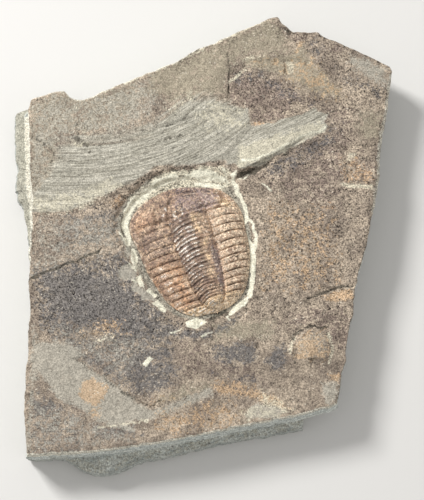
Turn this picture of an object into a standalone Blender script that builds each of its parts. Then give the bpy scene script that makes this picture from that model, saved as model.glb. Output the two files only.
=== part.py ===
"""Trilobite fossil in a broken slab of layered siltstone.

Two solids: the slab, and the fossil that sits in a pocket cut in it. The slab lies flat with its
underside at z = 0, +Y runs to the pointed end of the slab, and the origin is under its middle.
Driving dimensions are in millimetres and become metres when a mesh is made.
"""

import math

import bmesh
import bpy
import numpy as np
from mathutils import Vector, noise
from mathutils.geometry import delaunay_2d_cdt

MM = 0.001

# Slab: heights
BEDDING_Z = 14.0
NORTH_RISE = 1.1
JOINT_TOP_Z = 7.8
JOINT_LOW_Z = 7.1
UNDULATION = 0.35
UNDULATION_SIZE = 26.0

# Slab: outline of the upper bed, clockwise from the upper left corner
SLAB_OUTLINE = (
    (-60.2, 45.9), (-58.5, 50.4), (-54.2, 51.6), (-50.2, 53.1), (-47.5, 53.2), (-45.5, 50.9),
    (-43.6, 50.0), (-41.3, 50.0), (-37.9, 51.0), (-31.2, 54.3), (-24.0, 57.2), (-14.7, 61.1),
    (-8.6, 63.7), (-3.1, 67.2), (3.5, 69.7), (10.7, 73.2), (19.0, 76.9), (24.0, 79.1),
    (26.2, 79.5), (28.2, 77.2), (31.7, 74.0), (36.7, 74.0), (40.3, 74.0), (43.3, 72.0),
    (50.5, 68.9), (58.8, 65.1), (65.3, 61.4), (66.0, 60.0), (65.2, 53.7), (64.2, 45.8),
    (63.0, 40.2), (61.5, 31.7), (61.4, 23.3), (60.5, 18.9), (58.4, 9.4), (56.7, 1.1),
    (55.8, -2.7), (53.8, -9.3), (52.1, -16.4), (51.4, -24.6), (49.8, -30.0), (48.9, -34.9),
    (48.8, -40.3), (47.2, -45.1), (46.3, -51.6), (45.5, -55.1), (42.5, -56.5), (38.2, -57.5),
    (35.2, -58.5), (33.4, -58.9), (23.3, -60.9), (12.6, -62.8), (1.1, -65.4), (-8.7, -67.1),
    (-16.9, -68.6), (-24.1, -69.7), (-34.9, -71.1), (-46.1, -71.7), (-58.4, -72.4),
    (-59.7, -56.9), (-59.4, -43.5), (-58.7, -40.3), (-58.6, -30.0), (-58.2, -21.9),
    (-58.9, -13.7), (-58.5, -7.1), (-59.1, -2.7), (-58.2, 6.5), (-58.6, 14.8), (-59.3, 23.2),
    (-59.7, 34.4),
)
BORDER_STEP = 4.0
BORDER_ROUGHNESS = 0.22
BORDER_LUMP = 3.0
KEPT_WITHIN = 0.1

# Slab: how far the lower bed reaches past the upper one, as (place along the edge, reach)
LEFT_REACH = (
    (-72.0, 0.8), (-6.0, 0.6), (0.2, 1.3), (4.2, 2.2), (9.2, 3.1), (13.7, 4.1), (15.9, 5.5),
    (20.4, 6.3), (27.2, 5.1), (31.8, 6.1), (36.3, 5.9), (45.6, 5.9), (48.6, 0.4),
)
FRONT_REACH = (
    (-58.0, 1.5), (-46.9, 1.8), (-43.6, 3.7), (-39.8, 6.6), (-33.9, 8.5), (-28.4, 7.7),
    (-25.2, 6.3), (-19.8, 5.2), (-9.0, 5.0), (3.5, 4.2), (19.8, 4.6), (33.5, 4.7), (35.2, -2.4),
    (46.0, -2.4),
)
HIDDEN_REACH = -1.8
FACING = (0.5, 0.8)

# Slab: the upper bed's side slopes out towards its foot, but is sheer on the far and right side
FRONT_SLOPE = 1.3
SIDE_SLOPE = 0.5
FRONT_FACING = -0.6
SHEER_PAST_X = 56.0
SHEER_PAST_Y = 48.0

# Slab: rings of the side below the top edge, as (share of the slope, share of the reach, inset,
# height, roughness)
FOOT_UNDERCUT = 1.0
SIDE_PROFILE = (
    (0.6, 0.0, 0.0, 10.8, 0.6),
    (1.0, 0.0, 0.0, JOINT_TOP_Z, 0.4),
    (0.0, 0.85, 0.0, JOINT_LOW_Z, 0.5),
    (0.0, 1.0, 0.25, 5.2, 0.5),
    (0.0, 1.0, 0.0, 2.4, 0.0),
    (0.0, 1.0, 0.5 * FOOT_UNDERCUT, 0.6, 0.3),
    (0.0, 1.0, FOOT_UNDERCUT, 0.0, 0.0),
)
SIDE_ROUGHNESS = 0.45
SIDE_LUMP = 5.0

# Slab: rounding of the top edge, wide along the weathered right edge
EDGE_WIDTH = 0.8
EDGE_DROP = 0.6
WEATHERED_WIDTH = 2.0
WEATHERED_DROP = 1.5
WEATHERED_PAST_X = 40.0
WEATHERED_FROM = 12.0
WEATHERED_TO = 58.0
WEATHERED_FADE = 5.0

# Slab: the step that ends the scraped fan, west to east, with its height along x
FAN_EDGE = (
    (-59.3, 11.2), (-48.4, 10.5), (-34.8, 14.7), (-24.5, 18.0), (-17.7, 19.5), (-7.5, 23.0),
    (6.0, 23.0), (11.5, 22.0), (15.2, 25.0), (23.4, 29.4), (33.7, 35.7), (42.4, 40.0),
    (66.0, 44.0),
)
FAN_STEP = ((-60.0, 0.15), (-35.0, 0.4), (-18.0, 0.7), (10.0, 0.8), (16.0, 1.2), (30.0, 1.1),
            (44.0, 0.1), (66.0, 0.0))
FAN_RAMP = 22.0
STEP_HALF_WIDTH = 0.4

# Slab: a thin upper lamina at the pointed end, ended by an arc
LAMINA_EDGE = ((9.0, 50.6), (9.0, 57.0), (10.8, 60.6), (14.9, 63.4), (20.8, 64.2), (34.0, 64.2),
               (35.7, 67.0), (35.9, 71.0))
LAMINA_FAR_CORNERS = ((37.0, 90.0), (-20.0, 90.0), (-20.0, 50.6))
LAMINA_STEP = 0.5
LAMINA_GROWS = (-16.0, 4.0)

# Slab: a second, buried fossil that shows as a blister, and a chipped hollow, with the rings of
# points round each as (share of its radii, number of points)
BLISTER_PLACE = (36.8, -35.7)
BLISTER_RADII = (7.0, 5.8)
BLISTER_TURN = math.radians(-25.0)
BLISTER_HEIGHT = 1.2
BLISTER_FULLNESS = 0.7
BLISTER_RINGS = ((1.0, 16), (0.75, 12), (0.4, 6))
CHIP_PLACE = (44.5, -17.4)
CHIP_RADII = (8.0, 2.6)
CHIP_TURN = math.radians(-4.0)
CHIP_DEPTH = 0.8
CHIP_FLOOR_SHARE = 0.3
CHIP_RINGS = ((1.0, 14), (0.45, 6))

# Slab: spread of the points on the bedding plane, and the room round a line of points
FIELD_LOW = (-70.0, -84.0)
FIELD_SIZE = (140.0, 170.0)
FACET_SIZE = 5.0
FACET_JITTER = 1.3
JITTER_LUMP = 3.2
LINE_STEP = 3.0
LINE_FOOT = 1.1
LINE_CLEARANCE = 1.9
EDGE_CLEARANCE = 1.0
CLEAR_OF_TROUGH = 1.25

# Slab: the prepared trough round the fossil, with its wall as (share of width, share of rise)
TROUGH_WIDTH = 2.9
EXTRA_AT_HEAD = 4.4
EXTRA_AT_LEFT = 1.7
HEAD_FALLOFF = 1.5
LEFT_FALLOFF = 2.0
TROUGH_PROFILE = ((0.0, 0.0), (0.38, 0.0), (0.52, 0.5), (0.8, 0.6), (1.0, 1.0))
OUTLINE_STEP = 2.6

# Fossil: place and turn of its own frame, x to its right and y to its head
FOSSIL_PLACE = (-0.9, -2.8)
FOSSIL_TURN = math.radians(16.5)
SEAT_Z = 12.75
SEAT_RISE_TO_RIGHT = 0.020
SEAT_RISE_TO_HEAD = -0.012
RIM_ABOVE_SEAT = 0.35
FOSSIL_UNDERSIDE_Z = 10.8
POCKET_Z = 10.5
POCKET_GAP = 0.3
CUTTER_TOP_Z = 20.0

# Fossil: margin of each half from head to tail, in the fossil's frame
RIGHT_MARGIN = (
    (0.0, 23.0), (4.0, 21.9), (8.3, 20.5), (12.6, 18.4), (15.4, 15.2), (17.0, 11.8),
    (17.7, 8.1), (17.4, 3.5), (17.0, -1.2), (16.4, -5.4), (15.3, -9.0), (13.8, -12.6),
    (12.0, -16.0), (9.2, -19.0), (4.9, -21.2), (0.0, -22.0),
)
LEFT_MARGIN = (
    (0.0, 23.0), (-5.1, 23.3), (-10.9, 22.1), (-14.6, 20.7), (-17.6, 18.6), (-19.7, 16.3),
    (-20.8, 13.3), (-20.5, 9.9), (-19.8, 5.6), (-19.4, 1.3), (-18.7, -3.4), (-17.3, -8.4),
    (-15.8, -12.9), (-13.6, -16.5), (-10.8, -19.3), (-6.9, -21.3), (0.0, -22.0),
)
HEAD_END = {"right": (17.3, 10.6), "left": (-20.6, 10.6)}
THORAX_END = {"right": (11.2, -17.0), "left": (-12.6, -17.7)}

# Fossil: places along the midline
HEAD_FRONT_Y = 23.0
THORAX_FRONT_Y = 12.2
THORAX_BACK_Y = -16.8
TAIL_Y = -22.0
THORAX_SEGMENTS = 11
FIRST_TO_LAST_PITCH = 1.5
TAIL_RIBS = 5

# Fossil: rows and columns of the shield's surface, where a station runs from 0 at the head's front
# over 1 and 2 at the ends of the thorax to 3 at the tail's end
HEAD_ROWS = 10
ROW_PHASES = (0.0, 0.3, 0.62, 0.8)
ROWS_PER_TAIL_RIB = 2
COLUMNS = (0.0, 0.14, 0.27, 0.345, 0.385, 0.46, 0.57, 0.69, 0.81, 0.92, 1.0)

# Fossil: how its rows run, arched over the axis and swept back to the margin by a power of the
# share of the half width
AXIS_SHARE = 0.365
RING_ARCH = {"right": 0.3, "left": 1.8}
ARCH_GROWS = (0.6, 1.1)
ARCH_SHRINKS = (1.9, 2.6)
TAIL_ARCH_SHARE = 0.4
HEAD_SWEEP = 1.2
THORAX_SWEEP = 3.5
TAIL_SWEEP = 1.7
SWEEP_GROWS = (0.7, 1.15)
SWEEP_SHRINKS = (1.8, 2.3)

# Fossil: vault, axis and ribs
DOME_HEIGHT = 3.0
DOME_REACH = 8.5
DOME_FULLNESS = 2.3
AXIS_HEIGHT = 1.35
AXIS_FULLNESS = 2.4
AXIS_END = (2.3, 2.7)
FURROW_DEPTH = 0.4
FURROW_WIDTH = 0.035
RIB_HEIGHT = 0.55
RIB_FADE = 0.5
RIB_FADES = (0.8, 1.0)
CREST_PHASE = 0.62
TAIL_RIB_HEIGHT = 0.4
TAIL_RIB_FADE = 0.6
RELIEF_FADE_WIDTH = 1.6

# Fossil: head
GLABELLA_HALF_WIDTH = ((12.9, 6.9), (16.5, 6.0), (21.0, 5.2))
GLABELLA_SHOULDER_Y = 15.0
GLABELLA_FRONT_Y = 20.4
GLABELLA_SQUARENESS = 3.0
GLABELLA_FURROW_WIDTH = 0.13
GLABELLA_JOINS_AXIS = (0.8, 1.0)
HEAD_BORDER_WIDTH = 1.8
HEAD_BORDER_DROP = 0.45
HEAD_BORDER_GROOVE = 0.7
CHEEK_HEIGHT = 0.7
CHEEK_SHARE = 0.66
CHEEK_HALF_WIDTH = 0.16
CHEEK_GROWS = (0.15, 0.6)
CHEEK_ENDS = (0.75, 1.0)
NECK_FURROW_DEPTH = 0.4
NECK_STATION = 0.84
NECK_HALF_WIDTH = 0.05

# Materials
SLAB_COLOR = (0.33, 0.28, 0.22)
SLAB_ROUGHNESS = 0.9
FOSSIL_COLOR = (0.42, 0.24, 0.13)
FOSSIL_ROUGHNESS = 0.6
SHARP_ANGLE = math.radians(50.0)


def clear_scene():
    """Remove every object of the open file."""
    for item in list(bpy.data.objects):
        bpy.data.objects.remove(item, do_unlink=True)


def ramp(low, high, value):
    """Return 0 below low, 1 above high and a smooth rise between them."""
    share = np.clip((value - low) / (high - low), 0.0, 1.0)
    return share * share * (3.0 - 2.0 * share)


def along(table, value):
    """Read a table of (place, amount) pairs at a place between them."""
    places, amounts = zip(*table)
    return np.interp(value, places, amounts)


def ripple(x, y, size, layer=0.0):
    """Return smooth noise between about -1 and 1 with lumps of the given size."""
    return np.array([noise.noise(Vector((a / size, b / size, layer))) for a, b in zip(x, y)])


def resample(points, step, closed=True):
    """Add points along a polyline so that none are further apart than the step."""
    ends = list(points[1:]) + ([points[0]] if closed else [])
    result = []
    for start, end in zip(points, ends):
        pieces = max(1, math.ceil(math.dist(start, end) / step))
        for i in range(pieces):
            share = i / pieces
            result.append((start[0] + (end[0] - start[0]) * share,
                           start[1] + (end[1] - start[1]) * share))
    if not closed:
        result.append(points[-1])
    return np.array(result)


def smooth_curve(points, per_span=8):
    """Return points on a Catmull-Rom curve through the given points."""
    knots = np.array([points[0], *points, points[-1]])
    result = []
    for i in range(len(points) - 1):
        a, b, c, d = knots[i:i + 4]
        for share in np.arange(per_span) / per_span:
            result.append(0.5 * (2 * b + (c - a) * share + (2 * a - 5 * b + 4 * c - d) * share ** 2
                                 + (3 * b - a - 3 * c + d) * share ** 3))
    result.append(knots[-1])
    return np.array(result)


def distance_to_line(points, line):
    """Return each point's distance to a polyline."""
    start, end = line[:-1][None], line[1:][None]
    run = end - start
    from_start = points[:, None] - start
    share = np.clip((from_start * run).sum(2) / (run ** 2).sum(2), 0.0, 1.0)
    return np.linalg.norm(from_start - share[..., None] * run, axis=2).min(1)


def inside_loop(points, loop):
    """Say of each point whether it is inside a closed loop."""
    x, y = points[:, 0][:, None], points[:, 1][:, None]
    ax, ay = loop[:, 0][None], loop[:, 1][None]
    bx, by = np.roll(ax, -1, axis=1), np.roll(ay, -1, axis=1)
    spans = (ay > y) != (by > y)
    crossing = ax + (y - ay) * (bx - ax) / np.where(by == ay, 1.0, by - ay)
    return ((spans & (x < crossing)).sum(1) % 2).astype(bool)


def outward_normals(loop):
    """Return the outward unit normals of a clockwise loop, averaged over its neighbours."""
    tangent = np.roll(loop, -1, axis=0) - np.roll(loop, 1, axis=0)
    normal = np.column_stack((-tangent[:, 1], tangent[:, 0]))
    return normal / np.linalg.norm(normal, axis=1)[:, None]


def to_fossil_frame(points):
    """Turn slab positions into the fossil's frame."""
    moved = points - np.array(FOSSIL_PLACE)
    c, s = math.cos(FOSSIL_TURN), math.sin(FOSSIL_TURN)
    return np.column_stack((moved[:, 0] * c + moved[:, 1] * s, -moved[:, 0] * s + moved[:, 1] * c))


def to_slab_frame(points):
    """Turn positions in the fossil's frame into slab positions."""
    c, s = math.cos(FOSSIL_TURN), math.sin(FOSSIL_TURN)
    return np.column_stack((points[:, 0] * c - points[:, 1] * s + FOSSIL_PLACE[0],
                            points[:, 0] * s + points[:, 1] * c + FOSSIL_PLACE[1]))


def fossil_outline():
    """Return the fossil's closed outline, clockwise from the middle of the head's front."""
    right = smooth_curve(RIGHT_MARGIN, 4)
    left = smooth_curve(LEFT_MARGIN, 4)
    return np.vstack((right[:-1], left[::-1][:-1]))


OUTLINE = fossil_outline()
CLOSED_OUTLINE = np.vstack((OUTLINE, OUTLINE[:1]))


def seat_height(local):
    """Return the height of the trough's floor, a plane tilted like the fossil."""
    return SEAT_Z + SEAT_RISE_TO_RIGHT * local[:, 0] + SEAT_RISE_TO_HEAD * local[:, 1]


def trough_width(angle):
    """Return the trough's width at an angle round the fossil: widest at the head and left."""
    toward_head = np.clip(np.sin(angle), 0.0, 1.0)
    toward_left = np.clip(-np.cos(angle), 0.0, 1.0)
    return (TROUGH_WIDTH + EXTRA_AT_HEAD * toward_head ** HEAD_FALLOFF
            + EXTRA_AT_LEFT * toward_left ** LEFT_FALLOFF)


def trough_share(points):
    """Return 0 at the fossil's outline and 1 at the trough's outer edge, for each point."""
    local = to_fossil_frame(points)
    gap = distance_to_line(local, CLOSED_OUTLINE)
    gap[inside_loop(local, OUTLINE)] = 0.0
    return gap / trough_width(np.arctan2(local[:, 1], local[:, 0]))


def ellipse_share(points, place, radii, turn):
    """Return each point's distance from an ellipse's middle, 1 on its edge."""
    moved = points - np.array(place)
    c, s = math.cos(turn), math.sin(turn)
    along_axis = (moved[:, 0] * c + moved[:, 1] * s) / radii[0]
    across = (-moved[:, 0] * s + moved[:, 1] * c) / radii[1]
    return np.hypot(along_axis, across)


def inside_lamina(points):
    """Say of each point whether it is on the thin upper lamina at the pointed end."""
    return inside_loop(points, np.array(LAMINA_EDGE + LAMINA_FAR_CORNERS))


def top_height(points):
    """Return the height of the slab's top at each (x, y)."""
    x, y = points[:, 0], points[:, 1]
    past_edge = y - along(FAN_EDGE, x)
    step = along(FAN_STEP, x)
    height = BEDDING_Z + UNDULATION * ripple(x, y, UNDULATION_SIZE)
    height += step * np.clip((past_edge + STEP_HALF_WIDTH) / (2 * STEP_HALF_WIDTH), 0.0, 1.0)
    height += (NORTH_RISE - step) * ramp(0.0, FAN_RAMP, past_edge)
    height += LAMINA_STEP * inside_lamina(points) * ramp(*LAMINA_GROWS, x)
    blister = ellipse_share(points, BLISTER_PLACE, BLISTER_RADII, BLISTER_TURN)
    height += BLISTER_HEIGHT * np.clip(1.0 - blister ** 2, 0.0, 1.0) ** BLISTER_FULLNESS
    chip = ellipse_share(points, CHIP_PLACE, CHIP_RADII, CHIP_TURN)
    height -= CHIP_DEPTH * (1.0 - ramp(CHIP_FLOOR_SHARE, 1.0, chip))
    wall = along(TROUGH_PROFILE, trough_share(points))
    floor = seat_height(to_fossil_frame(points))
    return floor + (height - floor) * wall


def slab_border():
    """Return the upper bed's rough outline and its outward normals. Its far and its right corner
    keep their place, so that the slab keeps its size."""
    loop = resample(SLAB_OUTLINE, BORDER_STEP)
    normals = outward_normals(loop)
    rough = BORDER_ROUGHNESS * ripple(loop[:, 0], loop[:, 1], BORDER_LUMP, layer=4.0)
    keep = (loop > loop.max(0) - KEPT_WITHIN).any(1)
    return loop + normals * np.where(keep, 0.0, rough - BORDER_ROUGHNESS)[:, None], normals


def edge_rounding(loop):
    """Return how wide and how deep the top edge is rounded at each border point."""
    weathered = (ramp(WEATHERED_FROM - WEATHERED_FADE, WEATHERED_FROM, loop[:, 1])
                 * (1.0 - ramp(WEATHERED_TO, WEATHERED_TO + WEATHERED_FADE, loop[:, 1]))
                 * (loop[:, 0] > WEATHERED_PAST_X))
    width = EDGE_WIDTH + (WEATHERED_WIDTH - EDGE_WIDTH) * weathered
    return width, EDGE_DROP + (WEATHERED_DROP - EDGE_DROP) * weathered


def lower_bed_reach(loop, normals):
    """Return how far the lower bed stands out past each border point."""
    faces_left = ramp(*FACING, -normals[:, 0])
    faces_front = ramp(*FACING, -normals[:, 1])
    reach = np.full(len(loop), HIDDEN_REACH)
    reach += (along(LEFT_REACH, loop[:, 1]) - HIDDEN_REACH) * faces_left
    return reach + (along(FRONT_REACH, loop[:, 0]) - reach) * faces_front


def offset_loop(points, normals, width):
    """Move a loop's points along their normals."""
    return points + normals * np.broadcast_to(width, len(points))[:, None]


def edge_lines():
    """Return the lines that the facets of the top must follow: both feet of each step."""
    lines = []
    fan = resample(FAN_EDGE, LINE_STEP, closed=False)
    lamina = resample(LAMINA_EDGE, LINE_STEP, closed=False)
    for line in (fan, lamina):
        tangent = np.gradient(line, axis=0)
        normal = np.column_stack((-tangent[:, 1], tangent[:, 0]))
        normal /= np.linalg.norm(normal, axis=1)[:, None]
        for side in (-LINE_FOOT, LINE_FOOT):
            lines.append((line + side * STEP_HALF_WIDTH * normal, False))
    outline = resample(OUTLINE, OUTLINE_STEP)
    normals = outward_normals(outline)
    angle = np.arctan2(outline[:, 1], outline[:, 0])
    for share, _ in TROUGH_PROFILE[1:]:
        ring = outline + normals * (share * trough_width(angle))[:, None]
        lines.append((to_slab_frame(ring), True))
    return lines


def ring_points(place, radii, turn, share, count):
    """Return a ring of points round an ellipse's middle."""
    angle = np.arange(count) * 2 * math.pi / count
    x, y = share * radii[0] * np.cos(angle), share * radii[1] * np.sin(angle)
    c, s = math.cos(turn), math.sin(turn)
    return np.column_stack((place[0] + x * c - y * s, place[1] + x * s + y * c))


def relief_rings():
    """Return the closed lines round the blister and the chip."""
    rings = [ring_points(BLISTER_PLACE, BLISTER_RADII, BLISTER_TURN, share, count)
             for share, count in BLISTER_RINGS]
    rings += [ring_points(CHIP_PLACE, CHIP_RADII, CHIP_TURN, share, count)
              for share, count in CHIP_RINGS]
    return [(ring, True) for ring in rings]


def facet_points():
    """Return an uneven spread of points over the bedding plane."""
    points = []
    row_pitch = FACET_SIZE * math.sqrt(3) / 2
    for row in range(math.ceil(FIELD_SIZE[1] / row_pitch)):
        for column in range(math.ceil(FIELD_SIZE[0] / FACET_SIZE)):
            x = FIELD_LOW[0] + (column + 0.5 * (row % 2)) * FACET_SIZE
            y = FIELD_LOW[1] + row * row_pitch
            lump = Vector((x / JITTER_LUMP, y / JITTER_LUMP, 7.0))
            push = noise.noise_vector(lump) * FACET_JITTER
            points.append((x + push.x, y + push.y))
    return np.array(points)


def top_facets(border):
    """Triangulate the slab's top inside its border, with edges along every step and the trough."""
    closed_border = np.vstack((border, border[:1]))
    points = [tuple(p) for p in border]
    edges = [(i, (i + 1) % len(border)) for i in range(len(border))]
    lines = edge_lines()
    trough_outer = lines[-1][0]
    kept_lines = []
    for line, closed in lines + relief_rings():
        room = EDGE_CLEARANCE if closed else LINE_CLEARANCE
        clear = inside_loop(line, border) & (distance_to_line(line, closed_border) > room)
        if not closed:
            clear &= trough_share(line) > CLEAR_OF_TROUGH
        first = len(points)
        chosen = np.flatnonzero(clear)
        points += [tuple(p) for p in line[chosen]]
        edges += [(first + i, first + i + 1) for i in range(len(chosen) - 1)
                  if chosen[i + 1] == chosen[i] + 1]
        if clear.all() and closed:
            edges.append((len(points) - 1, first))
        kept_lines.append(line[chosen])
    fill = facet_points()
    clear = inside_loop(fill, border) & (distance_to_line(fill, closed_border) > LINE_CLEARANCE)
    clear &= ~inside_loop(fill, trough_outer)
    for line in kept_lines:
        clear &= distance_to_line(fill, line) > LINE_CLEARANCE
    points += [tuple(p) for p in fill[clear]]
    result = delaunay_2d_cdt([Vector(p) for p in points], edges, [], 0, 1e-4, True)
    verts, faces, origins = np.array([tuple(v) for v in result[0]]), result[2], result[3]
    middles = np.array([verts[list(face)].mean(0) for face in faces])
    inside = inside_loop(middles, border)
    return verts, [face for face, keep in zip(faces, inside) if keep], origins


def add_object(name, mesh_builder, color, roughness):
    """Make a named object from a filled bmesh, with its own material."""
    mesh = bpy.data.meshes.new(name)
    mesh_builder.normal_update()
    bmesh.ops.recalc_face_normals(mesh_builder, faces=mesh_builder.faces[:])
    mesh_builder.to_mesh(mesh)
    mesh_builder.free()
    item = bpy.data.objects.new(name, mesh)
    bpy.context.scene.collection.objects.link(item)
    material = bpy.data.materials.new(name)
    material.use_nodes = True
    shader = material.node_tree.nodes["Principled BSDF"]
    shader.inputs["Base Color"].default_value = (*color, 1.0)
    shader.inputs["Roughness"].default_value = roughness
    mesh.materials.append(material)
    return item


def side_rings(loop, normals):
    """Return the slab's rings below its top edge, as (points, heights) from top to bottom."""
    _, drop = edge_rounding(loop)
    slope = np.where(normals[:, 1] < FRONT_FACING, FRONT_SLOPE, SIDE_SLOPE)
    slope[(loop[:, 0] > SHEER_PAST_X) | (loop[:, 1] > SHEER_PAST_Y)] = 0.0
    reach = lower_bed_reach(loop, normals)
    rings = [(loop, top_height(loop) - drop)]
    for number, (on_slope, on_reach, inset, height, rough) in enumerate(SIDE_PROFILE):
        lumps = ripple(loop[:, 0], loop[:, 1], SIDE_LUMP, layer=1.7 * number)
        width = on_slope * slope + on_reach * reach - inset - rough * SIDE_ROUGHNESS * (1.0 + lumps)
        rings.append((offset_loop(loop, normals, width), np.full(len(loop), height)))
    return rings


def build_slab():
    """Model the slab: faceted top, edge, two beds and the flat underside."""
    loop, normals = slab_border()
    width, _ = edge_rounding(loop)
    border = offset_loop(loop, normals, -width)
    verts, faces, origins = top_facets(border)
    work = bmesh.new()
    heights = top_height(verts)
    made = [work.verts.new((x * MM, y * MM, z * MM)) for (x, y), z in zip(verts, heights)]
    for face in faces:
        work.faces.new([made[i] for i in face])
    upper = [None] * len(border)
    for index, sources in enumerate(origins):
        for source in sources:
            if source < len(border):
                upper[source] = made[index]
    for points, height in side_rings(loop, normals):
        lower = [work.verts.new((x * MM, y * MM, z * MM)) for (x, y), z in zip(points, height)]
        for i, vertex in enumerate(upper):
            after = (i + 1) % len(upper)
            work.faces.new((vertex, upper[after], lower[after], lower[i]))
        upper = lower
    work.faces.new(upper)
    slab = add_object("matrix_slab", work, SLAB_COLOR, SLAB_ROUGHNESS)
    cut_pocket(slab)
    return slab


def cut_pocket(slab):
    """Cut the pocket that the fossil sits in."""
    outline = resample(OUTLINE, OUTLINE_STEP)
    wide = to_slab_frame(offset_loop(outline, outward_normals(outline), POCKET_GAP))
    work = bmesh.new()
    floor = [work.verts.new((x * MM, y * MM, POCKET_Z * MM)) for x, y in wide]
    base = work.faces.new(floor)
    raised = bmesh.ops.extrude_face_region(work, geom=[base])["geom"]
    for vertex in (v for v in raised if isinstance(v, bmesh.types.BMVert)):
        vertex.co.z = CUTTER_TOP_Z * MM
    cutter = add_object("pocket_cutter", work, SLAB_COLOR, SLAB_ROUGHNESS)
    cutter.hide_render = True
    cutter.display_type = "WIRE"
    cut = slab.modifiers.new("pocket", "BOOLEAN")
    cut.operation = "DIFFERENCE"
    cut.solver = "EXACT"
    cut.object = cutter


def midline_y(station):
    """Return the place on the fossil's midline at a station: 0 to 1 is the head, 1 to 2 the
    thorax with its segments getting shorter, and 2 to 3 the tail."""
    if station <= 1.0:
        return HEAD_FRONT_Y + (THORAX_FRONT_Y - HEAD_FRONT_Y) * station
    if station <= 2.0:
        share = station - 1.0
        taper = (FIRST_TO_LAST_PITCH - 1.0) / (FIRST_TO_LAST_PITCH + 1.0)
        eased = share * (1.0 + taper) - taper * share * share
        return THORAX_FRONT_Y + (THORAX_BACK_Y - THORAX_FRONT_Y) * eased
    return THORAX_BACK_Y + (TAIL_Y - THORAX_BACK_Y) * (station - 2.0)


class Margin:
    """One half of the fossil's margin, read by station."""

    def __init__(self, side):
        points = RIGHT_MARGIN if side == "right" else LEFT_MARGIN
        self.side = side
        self.curve = smooth_curve(points, 12)
        steps = np.linalg.norm(np.diff(self.curve, axis=0), axis=1)
        self.run = np.concatenate(((0.0,), np.cumsum(steps))) / steps.sum()
        self.marks = (0.0, self.share_at(HEAD_END[side]), self.share_at(THORAX_END[side]), 1.0)

    def share_at(self, point):
        """Return how far along the margin a point lies."""
        return self.run[np.linalg.norm(self.curve - np.array(point), axis=1).argmin()]

    def point(self, station):
        """Return the margin's point at a station."""
        share = np.interp(station, (0.0, 1.0, 2.0, 3.0), self.marks)
        return np.array([np.interp(share, self.run, self.curve[:, i]) for i in (0, 1)])


def shield_place(margin, station, share):
    """Return a point of the shield: across from the midline by a share of the half width."""
    middle = midline_y(station)
    tip = margin.point(station)
    arch = RING_ARCH[margin.side] * ramp(*ARCH_GROWS, station)
    arch *= 1.0 - (1.0 - TAIL_ARCH_SHARE) * ramp(*ARCH_SHRINKS, station)
    sweep = HEAD_SWEEP + (THORAX_SWEEP - HEAD_SWEEP) * ramp(*SWEEP_GROWS, station)
    sweep += (TAIL_SWEEP - THORAX_SWEEP) * ramp(*SWEEP_SHRINKS, station)
    inner = middle - arch * min(share / AXIS_SHARE, 1.0) ** 2
    return np.array((tip[0] * share, inner + (tip[1] - inner) * share ** sweep))


def rib_wave(phase):
    """Return a rib's height over one segment: a slow rise to the crest and a quick fall."""
    if phase < CREST_PHASE:
        return math.sin(0.5 * math.pi * phase / CREST_PHASE)
    return math.cos(0.5 * math.pi * (phase - CREST_PHASE) / (1.0 - CREST_PHASE))


def rib_height(station, share):
    """Return the height of the segments' ribs and of the tail's weaker ribs."""
    fade = 1.0 - RIB_FADE * float(ramp(*RIB_FADES, share))
    if 1.0 <= station <= 2.0:
        return RIB_HEIGHT * fade * rib_wave((station - 1.0) * THORAX_SEGMENTS % 1.0)
    if station > 2.0:
        weak = 1.0 - TAIL_RIB_FADE * (station - 2.0)
        return TAIL_RIB_HEIGHT * fade * weak * rib_wave((station - 2.0) * TAIL_RIBS % 1.0)
    return 0.0


def head_relief(station, share, to_margin):
    """Return the head's cheeks, flat border and neck furrow."""
    if station >= 1.0:
        return 0.0
    rise = float(ramp(*CHEEK_GROWS, station)) * (1.0 - float(ramp(*CHEEK_ENDS, station)))
    cheek = CHEEK_HEIGHT * math.exp(-((share - CHEEK_SHARE) / CHEEK_HALF_WIDTH) ** 2)
    from_groove = (to_margin - HEAD_BORDER_WIDTH) / HEAD_BORDER_GROOVE
    border = -HEAD_BORDER_DROP * math.exp(-from_groove ** 2)
    neck = -NECK_FURROW_DEPTH * math.exp(-((station - NECK_STATION) / NECK_HALF_WIDTH) ** 2)
    return cheek * rise + border + neck


def axis_height(place, station, share):
    """Return the height of the raised middle: the glabella, then the ringed axis."""
    across = share / AXIS_SHARE
    ends = 1.0 - float(ramp(*AXIS_END, station))
    groove = math.exp(-((share - AXIS_SHARE) / FURROW_WIDTH) ** 2)
    rings = AXIS_HEIGHT * (1.0 - min(across, 1.0) ** AXIS_FULLNESS) - FURROW_DEPTH * groove
    rings *= ends
    if station >= 1.0:
        return rings
    forward = max(place[1] - GLABELLA_SHOULDER_Y, 0.0) / (GLABELLA_FRONT_Y - GLABELLA_SHOULDER_Y)
    sideways = abs(place[0]) / float(along(GLABELLA_HALF_WIDTH, place[1]))
    squareness = GLABELLA_SQUARENESS
    from_middle = (forward ** squareness + sideways ** squareness) ** (1 / squareness)
    groove = math.exp(-((from_middle - 1.0) / GLABELLA_FURROW_WIDTH) ** 2)
    glabella = AXIS_HEIGHT * (1.0 - min(from_middle, 1.0) ** AXIS_FULLNESS) - FURROW_DEPTH * groove
    return glabella + (rings - glabella) * float(ramp(*GLABELLA_JOINS_AXIS, station))


def shield_height(place, station, share):
    """Return the height of the shield above its seat."""
    to_margin = float(distance_to_line(place[None], CLOSED_OUTLINE)[0])
    to_crown = 1.0 - min(to_margin / DOME_REACH, 1.0)
    height = RIM_ABOVE_SEAT + DOME_HEIGHT * (1.0 - to_crown ** DOME_FULLNESS)
    height += axis_height(place, station, share)
    edge_fade = float(ramp(0.0, RELIEF_FADE_WIDTH, to_margin))
    height += (rib_height(station, share) + head_relief(station, share, to_margin)) * edge_fade
    return height


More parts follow.
